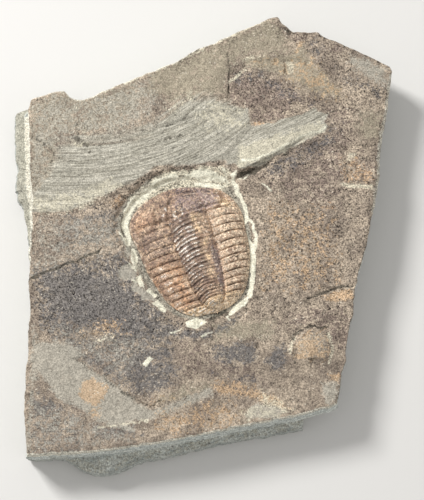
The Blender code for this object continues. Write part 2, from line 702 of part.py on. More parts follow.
def stations():
    """Return the stations of the shield's rows from head to tail."""
    head = [i / HEAD_ROWS for i in range(HEAD_ROWS)]
    thorax = [1.0 + (i + phase) / THORAX_SEGMENTS
              for i in range(THORAX_SEGMENTS) for phase in ROW_PHASES]
    tail_rows = TAIL_RIBS * ROWS_PER_TAIL_RIB
    tail = [2.0 + i / tail_rows for i in range(tail_rows + 1)]
    return head + thorax + tail


def build_trilobite():
    """Model the fossil: a ribbed, vaulted shield on a flat underside."""
    work = bmesh.new()
    rows = stations()
    margins = {side: Margin(side) for side in ("left", "right")}
    grid = {}
    for row, station in enumerate(rows):
        for side, sign in (("left", -1), ("right", 1)):
            for column, share in enumerate(COLUMNS):
                key = (row, sign * column)
                pinched = row in (0, len(rows) - 1)
                if key in grid or (pinched and column):
                    continue
                local = shield_place(margins[side], station, share)
                height = seat_height(local[None])[0] + shield_height(local, station, share)
                x, y = to_slab_frame(local[None])[0]
                grid[key] = work.verts.new((x * MM, y * MM, height * MM))
    last = len(COLUMNS) - 1
    for row in range(len(rows) - 1):
        for column in range(-last, last):
            corners = []
            for key in ((row, column), (row, column + 1), (row + 1, column + 1), (row + 1, column)):
                corner = grid.get(key, grid[(key[0], 0)])
                if corner not in corners:
                    corners.append(corner)
            if len(corners) > 2:
                work.faces.new(corners)
    rim = [grid[(row, last)] for row in range(1, len(rows) - 1)] + [grid[(len(rows) - 1, 0)]]
    rim += [grid[(row, -last)] for row in range(len(rows) - 2, 0, -1)] + [grid[(0, 0)]]
    foot = [work.verts.new((v.co.x, v.co.y, FOSSIL_UNDERSIDE_Z * MM)) for v in rim]
    for i in range(len(rim)):
        after = (i + 1) % len(rim)
        work.faces.new((rim[i], rim[after], foot[after], foot[i]))
    work.faces.new(foot)
    item = add_object("trilobite", work, FOSSIL_COLOR, FOSSIL_ROUGHNESS)
    item.data.shade_smooth()
    item.data.set_sharp_from_angle(angle=SHARP_ANGLE)
    return item


def main():
    """Build the whole part."""
    clear_scene()
    build_slab()
    build_trilobite()


main()
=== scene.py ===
"""Trilobite fossil on a slab of layered siltstone, finished for the camera.

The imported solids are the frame. This script lays a finely modelled, coloured surface over each of the
two stones: the slab with its scraped fan, prepared trough, stains and ledges, and the ribbed shield of
the fossil. Sizes are millimetres in the slab's frame, with z up and the origin under the slab's middle,
and they become metres where a mesh is written.
"""

from __future__ import annotations

import logging
import math
from collections.abc import Sequence
from dataclasses import dataclass, field
from enum import Enum
from typing import Any

import bpy
import numpy as np
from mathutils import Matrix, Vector, noise

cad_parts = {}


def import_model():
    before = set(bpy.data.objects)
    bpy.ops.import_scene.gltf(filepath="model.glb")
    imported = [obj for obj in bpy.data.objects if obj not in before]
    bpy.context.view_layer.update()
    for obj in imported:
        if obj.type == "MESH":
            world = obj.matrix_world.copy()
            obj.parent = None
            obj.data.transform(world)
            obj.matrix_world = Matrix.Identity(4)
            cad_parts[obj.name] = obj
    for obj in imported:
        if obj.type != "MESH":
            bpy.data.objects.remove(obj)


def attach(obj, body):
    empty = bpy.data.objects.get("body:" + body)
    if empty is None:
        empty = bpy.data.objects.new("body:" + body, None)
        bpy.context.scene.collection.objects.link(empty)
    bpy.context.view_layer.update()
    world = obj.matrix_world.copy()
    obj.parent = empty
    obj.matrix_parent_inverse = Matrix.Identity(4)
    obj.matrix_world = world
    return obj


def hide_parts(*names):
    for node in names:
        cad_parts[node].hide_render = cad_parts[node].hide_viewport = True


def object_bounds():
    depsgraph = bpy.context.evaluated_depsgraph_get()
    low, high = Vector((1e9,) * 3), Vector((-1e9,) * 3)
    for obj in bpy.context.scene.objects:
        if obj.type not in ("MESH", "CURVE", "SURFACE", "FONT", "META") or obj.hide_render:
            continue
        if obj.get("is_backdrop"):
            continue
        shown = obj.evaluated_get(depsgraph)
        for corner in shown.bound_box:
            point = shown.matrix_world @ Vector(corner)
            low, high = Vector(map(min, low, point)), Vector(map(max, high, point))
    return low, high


LOG = logging.getLogger("trilobite_slab")
MM = 0.001
ROWS_AT_ONCE = 8192
BUMP_STRENGTH = 0.9
Place = tuple[float, float]
Color = tuple[float, float, float, float]
Socket = bpy.types.NodeSocket


# Shapes and curves in the plane


def ramp(low: float, high: float, value: Any) -> Any:
    """Rise smoothly from 0 below low to 1 above high."""
    share = np.clip((value - low) / (high - low), 0.0, 1.0)
    return share * share * (3.0 - 2.0 * share)


def bell(distance: Any, width: float) -> Any:
    """Return 1 at no distance and a smooth fall past the width."""
    return np.exp(-((distance / width) ** 2))


def along(table: Sequence[Place], value: Any) -> Any:
    """Read a table of (place, amount) pairs at a place between them."""
    places, amounts = zip(*table)
    return np.interp(value, places, amounts)


def ripple(points: np.ndarray, size: float, layer: float = 0.0) -> np.ndarray:
    """Return smooth noise between about -1 and 1.

    Args:
        points: One (x, y) row for each place.
        size: Width of a lump.
        layer: Picks another pattern of the same kind.

    Returns:
        One value for each place.
    """
    scaled = (points / size).tolist()
    return np.array([noise.noise(Vector((x, y, layer))) for x, y in scaled])


def rugged(points: np.ndarray, size: float, octaves: int = 3, layer: float = 0.0) -> np.ndarray:
    """Return noise whose lumps carry smaller lumps of half the size and height.

    Args:
        points: One (x, y) row for each place.
        size: Width of the largest lumps.
        octaves: Number of sizes.
        layer: Picks another pattern of the same kind.

    Returns:
        One value for each place.
    """
    total = np.zeros(len(points))
    for step in range(octaves):
        total += ripple(points, size / 2**step, layer + 3.1 * step) / 2**step
    return total


def resample(points: Sequence[Place], step: float, closed: bool = True) -> np.ndarray:
    """Add points along a polyline so that none are further apart than the step.

    Args:
        points: Corners of the polyline.
        step: Greatest gap between two points.
        closed: Whether the last corner is joined to the first.

    Returns:
        One (x, y) row for each point.
    """
    ends = list(points[1:]) + ([points[0]] if closed else [])
    result = []
    for start, end in zip(points, ends):
        pieces = max(1, math.ceil(math.dist(start, end) / step))
        for share in np.arange(pieces) / pieces:
            result.append((start[0] + (end[0] - start[0]) * share, start[1] + (end[1] - start[1]) * share))
    if not closed:
        result.append(points[-1])
    return np.array(result)


def smooth_curve(points: Sequence[Place], per_span: int) -> np.ndarray:
    """Return a Catmull-Rom curve through the given points.

    Args:
        points: Points that the curve runs through.
        per_span: Number of steps between two of them.

    Returns:
        One (x, y) row for each step.
    """
    knots = np.array([points[0], *points, points[-1]])
    result = []
    for i in range(len(points) - 1):
        a, b, c, d = knots[i:i + 4]
        for s in np.arange(per_span) / per_span:
            bend = (2 * a - 5 * b + 4 * c - d) * s**2 + (3 * b - a - 3 * c + d) * s**3
            result.append(0.5 * (2 * b + (c - a) * s + bend))
    result.append(knots[-1])
    return np.array(result)


def distance_to_line(points: np.ndarray, line: np.ndarray) -> np.ndarray:
    """Return each point's distance to a polyline.

    Args:
        points: One (x, y) row for each place.
        line: Corners of the polyline.

    Returns:
        One distance for each place.
    """
    start, run = line[:-1][None], (line[1:] - line[:-1])[None]
    length = np.maximum((run**2).sum(2), 1e-9)
    result = np.empty(len(points))
    for first in range(0, len(points), ROWS_AT_ONCE):
        rows = slice(first, first + ROWS_AT_ONCE)
        gap = points[rows, None] - start
        share = np.clip((gap * run).sum(2) / length, 0.0, 1.0)
        result[rows] = np.linalg.norm(gap - share[..., None] * run, axis=2).min(1)
    return result


def run_length(line: np.ndarray) -> np.ndarray:
    """Return how far along a polyline each of its corners lies."""
    steps = np.linalg.norm(np.diff(line, axis=0), axis=1)
    return np.concatenate(((0.0,), np.cumsum(steps)))


def inside_loop(points: np.ndarray, loop: np.ndarray) -> np.ndarray:
    """Say of each point whether it is inside a closed loop.

    Args:
        points: One (x, y) row for each place.
        loop: Corners of the loop.

    Returns:
        One truth value for each place.
    """
    x, y = points[:, 0], points[:, 1]
    crossings = np.zeros(len(points), int)
    for (ax, ay), (bx, by) in zip(loop, np.roll(loop, -1, axis=0)):
        spans = (ay > y) != (by > y)
        rise = by - ay if by != ay else 1.0
        crossings += spans & (x < ax + (y - ay) * (bx - ax) / rise)
    return crossings % 2 == 1


def distance_inside(points: np.ndarray, loop: np.ndarray) -> np.ndarray:
    """Return each point's distance to a closed loop, negative outside it."""
    distance = distance_to_line(points, np.vstack((loop, loop[:1])))
    return np.where(inside_loop(points, loop), distance, -distance)


def spot(x: np.ndarray, y: np.ndarray, place: Place, radii: Place) -> np.ndarray:
    """Return an oval spot: 1 at its place, with a smooth fall past its radii."""
    return bell(np.hypot((x - place[0]) / radii[0], (y - place[1]) / radii[1]), 1.0)


def outward_normals(loop: np.ndarray, reach: int = 1) -> np.ndarray:
    """Return the outward unit normals of a clockwise loop.

    Args:
        loop: Corners of the loop.
        reach: Number of neighbours on each side that a normal is averaged over.

    Returns:
        One unit vector for each corner.
    """
    tangent = np.roll(loop, -reach, axis=0) - np.roll(loop, reach, axis=0)
    normal = np.column_stack((-tangent[:, 1], tangent[:, 0]))
    return normal / np.linalg.norm(normal, axis=1)[:, None]


# Meshes


def new_sheet(name: str, across: int, up: int) -> bpy.types.Object:
    """Add a flat square sheet of faces, and open it for editing with its border selected."""
    bpy.ops.mesh.primitive_grid_add(x_subdivisions=across, y_subdivisions=up, size=2.0)
    item = bpy.context.object
    item.name = name
    item.data.name = name
    bpy.ops.object.mode_set(mode="EDIT")
    bpy.ops.mesh.select_all(action="SELECT")
    bpy.ops.mesh.region_to_loop()
    return item


def draw_down(depth: float) -> None:
    """Draw walls down from the selected border."""
    bpy.ops.mesh.extrude_edges_move(TRANSFORM_OT_translate={"value": (0.0, 0.0, -depth)})


def points_of(mesh: bpy.types.Mesh) -> np.ndarray:
    """Return one (x, y, z) row for each point of a mesh."""
    flat = np.empty(len(mesh.vertices) * 3)
    mesh.vertices.foreach_get("co", flat)
    return flat.reshape(-1, 3)


def move_points(mesh: bpy.types.Mesh, place: np.ndarray, z: np.ndarray) -> None:
    """Put each point of a mesh at its place and height in millimetres."""
    mesh.vertices.foreach_set("co", (np.column_stack((place, z)) * MM).ravel())


def keep_amount(mesh: bpy.types.Mesh, name: str, values: np.ndarray) -> None:
    """Keep one number for each point of a mesh under a name."""
    layer = mesh.attributes.new(name, "FLOAT", "POINT")
    layer.data.foreach_set("value", np.ascontiguousarray(values, dtype=np.float32))


# Colours of the stone, painted on as amounts between 0 and 1


class Tint(Enum):
    """Colours that the slab's top shows in places, and painted shade, each kept as an amount on the mesh."""

    STAIN = "stain"
    UMBER = "umber"
    KHAKI = "khaki"
    CLEAN = "clean"
    RUST = "rust"
    SCRAPE = "scrape"
    CREAM = "cream"
    POWDER = "powder"
    DARK = "painted_shade"


class ShellTint(Enum):
    """Colours that the fossil shows in places, and painted highlights, shade and light, each kept as an
    amount on the mesh.
    """

    FURROW = "furrow"
    PAINTED_HIGHLIGHT = "painted_highlight"
    DARK_AND_SHADE = "dark_and_shade"
    VIOLET = "violet"
    GOLD_AND_LIGHT = "gold_and_light"
    RUST = "rust"
    CHALK_AND_LIGHT = "chalk_and_light"


@dataclass(frozen=True)
class Patch:
    """An area with a colour of its own."""

    tint: Enum
    corners: tuple[Place, ...]
    strength: float = 1.0
    soft: float = 2.0

    def amount(self, points: np.ndarray) -> np.ndarray:
        """Return how much of the tint each point has: half of it on the patch's edge.

        Args:
            points: One (x, y) row for each place.

        Returns:
            One amount for each place.
        """
        loop = np.array(self.corners)
        low, high = loop.min(0) - self.soft, loop.max(0) + self.soft
        near = ((points > low) & (points < high)).all(1)
        gap = distance_inside(points[near], loop)
        result = np.zeros(len(points))
        result[near] = self.strength * np.clip(0.5 + 0.5 * gap / self.soft, 0.0, 1.0)
        return result


@dataclass(frozen=True)
class Stroke:
    """A narrow mark with a colour of its own, whose width changes from one end to the other."""

    tint: Enum
    line: tuple[Place, ...]
    widths: Place = (1.0, 1.0)
    strength: float = 1.0
    soft: float = 0.3

    def amount(self, points: np.ndarray) -> np.ndarray:
        """Return how much of the tint each point has: half of it on the mark's edge.

        Args:
            points: One (x, y) row for each place.

        Returns:
            One amount for each place.
        """
        line = resample(self.line, 1.5, closed=False)
        widths = np.linspace(self.widths[0], self.widths[1], len(line))
        room = max(self.widths) + self.soft
        low, high = line.min(0) - room, line.max(0) + room
        near = np.flatnonzero(((points > low) & (points < high)).all(1))
        result = np.zeros(len(points))
        for i in range(len(line) - 1):
            gap = distance_to_line(points[near], line[i:i + 2])
            edge = 0.25 * (widths[i] + widths[i + 1])
            here = np.clip(0.5 + 0.5 * (edge - gap) / self.soft, 0.0, 1.0)
            result[near] = np.maximum(result[near], self.strength * here)
        return result


@dataclass(frozen=True)
class Chip:
    """A flat scar where a flake has come off, deepest on one side."""

    corners: tuple[Place, ...]
    depth: float
    tilt: Place = (0.0, 0.0)
    edge: float = 0.22

    def height(self, points: np.ndarray) -> np.ndarray:
        """Return the change of height at each point."""
        loop = np.array(self.corners)
        share = Patch(Tint.CLEAN, self.corners, 1.0, self.edge).amount(points)
        plane = (points - loop.mean(0)) @ np.array(self.tilt) - self.depth
        return share * plane


def painted(marks: Sequence[Patch | Stroke], tint: Enum, points: np.ndarray) -> np.ndarray:
    """Return the greatest amount of one tint that any mark gives each point."""
    amounts = [mark.amount(points) for mark in marks if mark.tint is tint]
    return np.maximum.reduce(amounts) if amounts else np.zeros(len(points))


# Scars where flakes came off beside the trough: each is a chip and a pale patch
CLEAN_SCARS = (
    (
        (-28.2, -9.5), (-27.2, -7.9), (-25.1, -7.1), (-23.7, -8.7), (-22.3, -10.3), (-21.8, -11.1),
        (-23.3, -12.6), (-26.6, -13.2), (-28.2, -11.9)),
    (
        (-23.5, -14.2), (-22.7, -13.4), (-18.6, -16.4), (-16.3, -18.7), (-14.7, -19.5), (-17.4, -20.3),
        (-20.5, -19.7), (-21.1, -18.3), (-23.3, -16.6)),
)
POWDER_SCARS = (
    (
        (-24.0, -2.0), (-22.4, -2.8), (-22.1, -5.1), (-21.7, -8.7), (-22.5, -8.9), (-23.7, -7.1),
        (-24.3, -5.1)),
    ((-20.6, -11.0), (-20.0, -13.8), (-18.5, -16.4), (-20.6, -15.0), (-22.3, -12.3)),
    ((-17.6, -15.5), (-18.7, -17.0), (-16.1, -19.1), (-15.0, -18.0)),
    ((-17.0, -20.7), (-14.7, -19.3), (-13.2, -21.9), (-11.9, -23.6), (-12.9, -24.1), (-14.5, -23.0)),
    (
        (-5.7, -27.3), (-5.0, -26.6), (-1.9, -26.3), (0.8, -26.6), (2.3, -27.2), (0.1, -28.4),
        (-1.9, -29.4), (-4.8, -29.0)),
)

STAIN_PATCHES = (
    Patch(Tint.STAIN, (
        (-57.6, -9.2), (-49.5, -7.1), (-45.7, -6.0), (-34.9, -4.9), (-26.3, -2.7), (-21.9, -13.6),
        (-16.4, -20.2), (-11.0, -26.2), (-8.8, -46.2), (-16.8, -54.4), (-28.0, -48.8), (-42.1, -38.6),
        (-47.5, -34.8), (-55.1, -28.9), (-55.8, -19.1)), 0.62),
    Patch(Tint.STAIN, (
        (-56.0, -9.5), (-40.0, -8.5), (-27.0, -11.0), (-21.0, -20.0), (-17.0, -32.0), (-27.0, -36.0),
        (-40.0, -30.0), (-53.0, -25.0)), 0.98, 4.0),
    Patch(Tint.STAIN, (
        (-47.1, 9.9), (-40.5, 11.0), (-31.9, 13.2), (-28.5, 10.5), (-27.2, 1.1), (-36.0, -2.7),
        (-50.1, -2.7)), 0.55, 3.0),
    Patch(Tint.STAIN, (
        (3.5, -35.4), (11.6, -34.8), (14.8, -33.8), (19.1, -34.8), (18.0, -40.8), (11.5, -41.9),
        (3.5, -39.7)), 0.8, 1.8),
    Patch(Tint.STAIN, (
        (23.9, -36.5), (29.3, -34.8), (28.2, -42.9), (23.9, -44.0), (21.2, -40.2)), 0.85, 1.5),
    Patch(Tint.STAIN, (
        (-7.0, -29.5), (4.0, -29.8), (9.0, -26.2), (13.0, -24.0), (10.0, -29.0), (2.0, -33.0),
        (-8.0, -33.0)), 0.8, 1.5),
    Patch(Tint.STAIN, (
        (-57.9, -52.5), (-49.4, -54.1), (-47.0, -57.4), (-51.0, -60.5), (-57.5, -59.0)), 0.7, 1.8),
    Patch(Tint.STAIN, ((-37.5, -61.1), (-22.4, -62.0), (-20.4, -66.0), (-35.3, -67.7)), 0.62, 2.0),
    Patch(Tint.STAIN, (
        (-57.5, -50.0), (-46.0, -54.0), (-38.0, -61.0), (-40.0, -70.0), (-57.5, -70.5)), 0.5, 3.0),
    Patch(Tint.STAIN, (
        (-30.0, -38.0), (-20.0, -36.0), (-8.0, -44.0), (-9.5, -49.0), (-16.5, -53.5),
        (-27.5, -47.0)), 0.72, 2.5),
    Patch(Tint.STAIN, (
        (-14.0, -26.0), (-6.0, -29.5), (-9.0, -33.0), (-22.0, -34.0), (-24.0, -24.0),
        (-19.0, -20.0)), 0.8, 2.0),
    Patch(Tint.STAIN, (
        (3.5, -44.5), (9.9, -45.6), (17.4, -45.6), (19.5, -49.0), (11.1, -48.3)), 0.5, 2.0),
    Patch(Tint.STAIN, (
        (21.0, 25.5), (27.0, 29.0), (36.0, 34.0), (43.0, 38.0), (44.0, 43.0), (48.0, 42.0),
        (44.0, 33.0), (33.0, 26.0), (24.0, 22.5)), 0.56, 2.6),
    Patch(Tint.STAIN, (
        (46.5, 60.5), (53.1, 58.2), (62.4, 53.7), (61.8, 50.3), (52.0, 53.7), (47.1, 57.1)), 0.52, 2.6),
    Patch(Tint.STAIN, (
        (35.5, 71.5), (40.3, 71.5), (43.0, 66.5), (40.2, 63.7), (37.9, 66.8)), 0.42, 2.2),
    Patch(Tint.STAIN, (
        (10.0, 58.5), (14.0, 60.0), (21.0, 60.0), (29.0, 55.0), (36.0, 50.5), (42.0, 48.5),
        (40.0, 46.5), (30.0, 49.5), (20.0, 56.0), (12.0, 55.0)), 0.42, 1.8),
)
UMBER_PATCHES = (
    Patch(Tint.UMBER, (
        (10.1, 58.8), (17.3, 60.0), (25.6, 57.1), (29.9, 53.7), (42.0, 49.2), (32.1, 48.0),
        (26.6, 43.5), (16.7, 41.2), (15.6, 45.8), (9.0, 46.9)), 0.8, 2.5),
    Patch(Tint.UMBER, (
        (20.9, 24.4), (34.0, 33.4), (42.9, 39.0), (44.2, 49.2), (51.1, 45.8), (50.1, 36.1),
        (49.8, 20.5), (44.1, 10.9), (30.4, 14.4)), 0.55, 3.5),
    Patch(Tint.UMBER, (
        (42.8, -27.8), (50.4, -26.2), (49.2, -35.4), (44.3, -35.4), (43.3, -31.1)), 0.8, 1.5),
    Patch(Tint.UMBER, ((-29.3, 17.9), (-31.0, 14.4), (-27.5, 13.0), (-26.0, 15.8)), 0.7, 1.2),
    Patch(Tint.UMBER, (
        (24.0, -28.0), (33.0, -24.0), (44.0, -23.0), (50.0, -21.0), (48.0, -27.0), (42.0, -29.0),
        (30.0, -29.0)), 0.6, 2.0),
    Patch(Tint.UMBER, ((-57.0, -60.0), (-40.0, -63.0), (-20.0, -67.0), (-57.0, -71.0)), 0.5, 2.5),
    Patch(Tint.UMBER, (
        (5.0, -36.0), (18.0, -42.0), (20.0, -48.0), (-6.0, -46.0), (-8.0, -34.0)), 0.45, 3.0),
    Patch(Tint.UMBER, (
        (27.5, 78.0), (31.5, 73.5), (37.0, 73.0), (34.0, 70.0), (29.0, 72.0), (26.0, 76.0)), 0.75, 1.2),
    Patch(Tint.UMBER, ((43.0, 68.5), (46.0, 69.5), (48.5, 67.5), (45.5, 66.0)), 0.7, 1.0),
    Patch(Tint.UMBER, (
        (49.0, 33.0), (54.0, 31.5), (59.0, 26.0), (58.0, 21.5), (51.0, 21.0), (47.5, 26.0)), 0.62, 2.0),
    Patch(Tint.UMBER, (
        (-46.0, 50.5), (-43.0, 50.0), (-40.5, 45.0), (-42.0, 42.5), (-44.5, 46.0)), 0.3, 1.5),
)
KHAKI_PATCHES = (
    Patch(Tint.KHAKI, (
        (9.0, 63.9), (17.3, 65.7), (28.4, 65.7), (34.5, 69.7), (38.8, 62.8), (43.2, 58.2), (47.6, 53.7),
        (48.6, 50.3), (38.7, 51.4), (31.1, 56.0), (27.8, 58.2), (20.1, 60.5)), 0.85),
    Patch(Tint.KHAKI, ((55.7, 45.8), (62.9, 46.9), (61.6, 36.7), (56.1, 34.5), (52.9, 40.1)), 0.7, 2.5),
    Patch(Tint.KHAKI, (
        (3.0, -27.5), (14.0, -27.0), (25.0, -27.0), (24.0, -33.0), (12.0, -33.0),
        (4.0, -34.0)), 0.7, 2.0),
    Patch(Tint.KHAKI, (
        (-18.0, 59.5), (-3.0, 66.5), (24.0, 78.5), (30.0, 72.0), (31.0, 65.5), (21.0, 65.5),
        (12.0, 63.5), (8.5, 58.0), (8.0, 51.0), (-8.0, 50.0), (-24.0, 50.0)), 0.75, 2.5),
    Patch(Tint.KHAKI, (
        (-60.0, 46.5), (-50.0, 53.5), (-40.0, 51.0), (-22.0, 58.5), (-20.0, 48.0), (-28.0, 39.0),
        (-48.0, 37.0), (-51.0, 18.0), (-60.0, 14.0)), 0.7, 3.0),
    Patch(Tint.KHAKI, (
        (-16.0, -52.0), (-9.0, -50.0), (4.0, -46.5), (4.0, -50.5), (-8.0, -54.5),
        (-15.0, -55.5)), 0.6, 1.5),
)
CLEAN_PATCHES = (
    Patch(Tint.CLEAN, (
        (-57.2, -34.4), (-45.3, -33.8), (-42.2, -35.0), (-38.8, -38.4), (-42.1, -39.6), (-35.6, -44.0),
        (-28.0, -49.3), (-21.6, -54.1), (-16.2, -56.7), (-8.0, -53.6), (3.5, -49.3), (3.5, -52.5),
        (-16.2, -60.1), (-30.0, -62.7), (-34.3, -61.1), (-41.9, -55.8), (-48.8, -52.6), (-51.6, -48.3),
        (-55.9, -44.0), (-58.1, -40.8)), 0.9, 1.4),
    Patch(Tint.CLEAN, (
        (14.2, -59.6), (17.4, -54.7), (24.9, -55.3), (29.1, -57.5), (23.8, -60.1)), 0.9, 1.2),
    Patch(Tint.CLEAN, (
        (40.4, -47.8), (46.3, -46.8), (45.7, -54.2), (42.5, -55.2), (40.4, -51.5)), 0.85, 1.5),
    Patch(Tint.CLEAN, (
        (-60.0, 46.5), (-50.0, 53.5), (-40.0, 51.0), (-31.0, 55.0), (-18.0, 59.5), (-13.0, 50.0),
        (-17.0, 42.0), (-24.0, 38.0), (-44.0, 36.0), (-51.0, 31.0), (-51.0, 18.0),
        (-60.0, 16.0)), 0.55, 4.0),
    Patch(Tint.CLEAN, (
        (30.9, -35.4), (33.0, -32.6), (36.9, -30.6), (41.0, -30.3), (42.7, -33.2), (43.0, -36.5),
        (42.2, -39.2), (40.5, -41.2), (37.3, -39.6), (33.5, -40.2)), 0.6, 0.8),
    Patch(Tint.CLEAN, (
        (51.0, 65.7), (58.7, 64.0), (64.8, 60.1), (64.2, 54.8), (58.6, 56.0), (52.1, 60.5)), 0.7, 1.8),
    Patch(Tint.CLEAN, (
        (-58.8, -71.5), (-57.0, -71.0), (-55.0, -40.0), (-56.0, -28.0), (-57.6, -28.0)), 0.6, 0.9),
    *(Patch(Tint.CLEAN, scar, 0.95, 0.35) for scar in CLEAN_SCARS),
    Patch(Tint.CLEAN, ((-26.3, -1.4), (-24.0, -2.0), (-24.5, -5.5), (-26.1, -5.1)), 0.8, 0.4),
    Patch(Tint.CLEAN, (
        (-38.0, -61.5), (-29.0, -60.6), (-21.5, -63.2), (-22.5, -64.6), (-31.0, -62.8)), 0.7, 0.8),
    Patch(Tint.CLEAN, ((7.5, 31.0), (14.0, 31.5), (12.0, 27.0), (8.0, 26.0)), 0.5, 1.5),
    Patch(Tint.CLEAN, (
        (-58.0, 9.0), (-28.0, 10.0), (-27.0, -3.0), (-40.0, -6.0), (-58.0, -13.0)), 0.42, 3.0),
    Patch(Tint.CLEAN, (
        (-55.0, -29.0), (-30.0, -27.0), (-18.0, -34.0), (-26.0, -48.0), (-42.0, -38.0)), 0.4, 3.0),
    Patch(Tint.CLEAN, (
        (-58.0, -52.0), (-42.0, -58.0), (-22.0, -64.0), (-20.0, -70.0), (-58.0, -71.5)), 0.42, 3.0),
)
RUST_PATCHES = (
    Patch(Tint.RUST, (
        (-39.8, -47.3), (-36.5, -46.6), (-31.2, -49.4), (-32.0, -51.8), (-35.4, -55.6), (-38.6, -55.0),
        (-41.3, -52.1)), 1.0, 0.9),
    Patch(Tint.RUST, ((-37.6, -55.9), (-33.3, -55.9), (-33.3, -59.1), (-37.0, -59.6)), 0.6, 1.2),
    Patch(Tint.RUST, (
        (30.4, -35.4), (32.5, -32.1), (36.9, -30.0), (41.2, -29.7), (43.0, -33.2), (43.5, -36.5),
        (42.7, -39.7), (40.5, -41.9), (37.3, -40.2), (33.5, -40.8), (30.9, -39.7)), 0.5, 0.8),
    Patch(Tint.RUST, (
        (3.5, -48.9), (11.0, -49.4), (19.5, -51.0), (24.9, -52.6), (30.2, -56.9), (27.0, -56.6),
        (21.7, -54.4), (15.3, -52.6), (6.7, -51.8)), 0.95, 1.2),
    Patch(Tint.RUST, ((5.5, -47.0), (17.0, -49.0), (18.0, -51.5), (6.5, -50.0)), 0.7, 1.6),
    Patch(Tint.RUST, ((42.1, -44.5), (45.8, -45.1), (46.1, -47.8), (43.1, -47.2)), 0.8, 0.9),
    Patch(Tint.RUST, (
        (40.0, -18.6), (44.0, -16.8), (51.0, -16.0), (51.0, -18.6), (46.7, -20.6),
        (43.0, -19.8)), 0.85, 0.8),
    Patch(Tint.RUST, (
        (47.5, 30.0), (54.0, 29.0), (58.7, 24.6), (57.6, 20.4), (49.5, 20.4), (48.4, 24.0)), 0.5, 1.6),
    Patch(Tint.RUST, ((35.4, -36.0), (38.5, -35.4), (39.7, -38.4), (36.4, -39.4)), 0.95, 1.2),
    Patch(Tint.RUST, ((15.0, 40.0), (26.5, 41.0), (25.5, 42.2), (15.4, 41.7)), 0.62, 0.7),
    Patch(Tint.RUST, ((30.6, 65.0), (33.4, 66.5), (35.0, 70.6), (33.2, 70.2), (31.8, 67.6)), 0.6, 0.8),
    Patch(Tint.RUST, ((28.0, 63.4), (29.2, 63.0), (29.4, 58.0), (28.4, 58.0)), 0.7, 0.5),
    Patch(Tint.RUST, ((16.0, 64.5), (26.0, 65.4), (27.0, 62.0), (20.0, 61.0)), 0.3, 1.5),
    Patch(Tint.RUST, ((-20.0, -52.0), (-10.0, -50.0), (-8.0, -54.0), (-18.0, -57.0)), 0.35, 3.0),
    Patch(Tint.RUST, ((-7.0, -60.0), (2.0, -58.0), (6.0, -61.5), (-4.0, -64.0)), 0.35, 2.0),
    Patch(Tint.RUST, ((-33.5, 14.8), (-27.0, 16.6), (-26.4, 13.4), (-31.5, 11.8)), 0.45, 1.4),
    Patch(Tint.RUST, (
        (-37.0, -27.0), (-28.0, -26.0), (-24.0, -31.0), (-35.0, -33.0), (-42.0, -33.5)), 0.5, 2.0),
    Patch(Tint.RUST, (
        (22.0, 13.0), (44.0, 12.0), (47.0, -13.0), (36.0, -16.0), (21.0, -16.0)), 0.36, 4.0),
    Patch(Tint.RUST, (
        (27.0, 62.0), (37.0, 65.0), (47.0, 56.0), (49.0, 50.0), (40.0, 51.0), (28.0, 57.0)), 0.42, 3.0),
    Patch(Tint.RUST, (
        (-16.0, -59.0), (4.0, -54.0), (14.0, -57.0), (10.0, -63.0), (-12.0, -66.0)), 0.46, 3.0),
)
SCRAPE_PATCHES = (
    Patch(Tint.SCRAPE, (
        (-59.5, 10.8), (-48.4, 10.8), (-36.8, 14.8), (-30.5, 17.8), (-26.2, 19.9), (-23.4, 20.8),
        (-21.0, 22.8), (-18.6, 24.4), (-16.4, 26.5), (-6.0, 26.9), (1.4, 28.0), (7.0, 28.2),
        (10.0, 31.0), (14.6, 34.0), (17.0, 40.0), (15.9, 46.3), (3.0, 49.5), (-6.4, 48.0),
        (-13.0, 41.5), (-24.7, 33.5), (-40.0, 31.0), (-50.0, 26.0), (-57.0, 17.0)), 1.0, 1.0),
    Patch(Tint.SCRAPE, (
        (-54.0, 22.0), (-49.0, 35.0), (-41.6, 37.5), (-28.7, 38.6), (-17.2, 42.0), (-6.4, 50.3),
        (3.5, 51.4), (9.5, 49.0), (8.0, 40.0), (-24.0, 28.0)), 0.66, 2.6),
    Patch(Tint.SCRAPE, (
        (13.6, 39.6), (25.5, 41.8), (34.3, 44.6), (38.0, 46.6), (39.0, 47.4), (39.4, 45.6),
        (43.8, 44.8), (41.6, 42.6), (43.4, 40.6), (42.0, 39.2), (34.2, 34.8), (25.4, 30.0),
        (19.9, 26.6), (13.7, 25.8), (8.4, 28.0), (6.5, 29.2)), 1.0, 0.5),
)
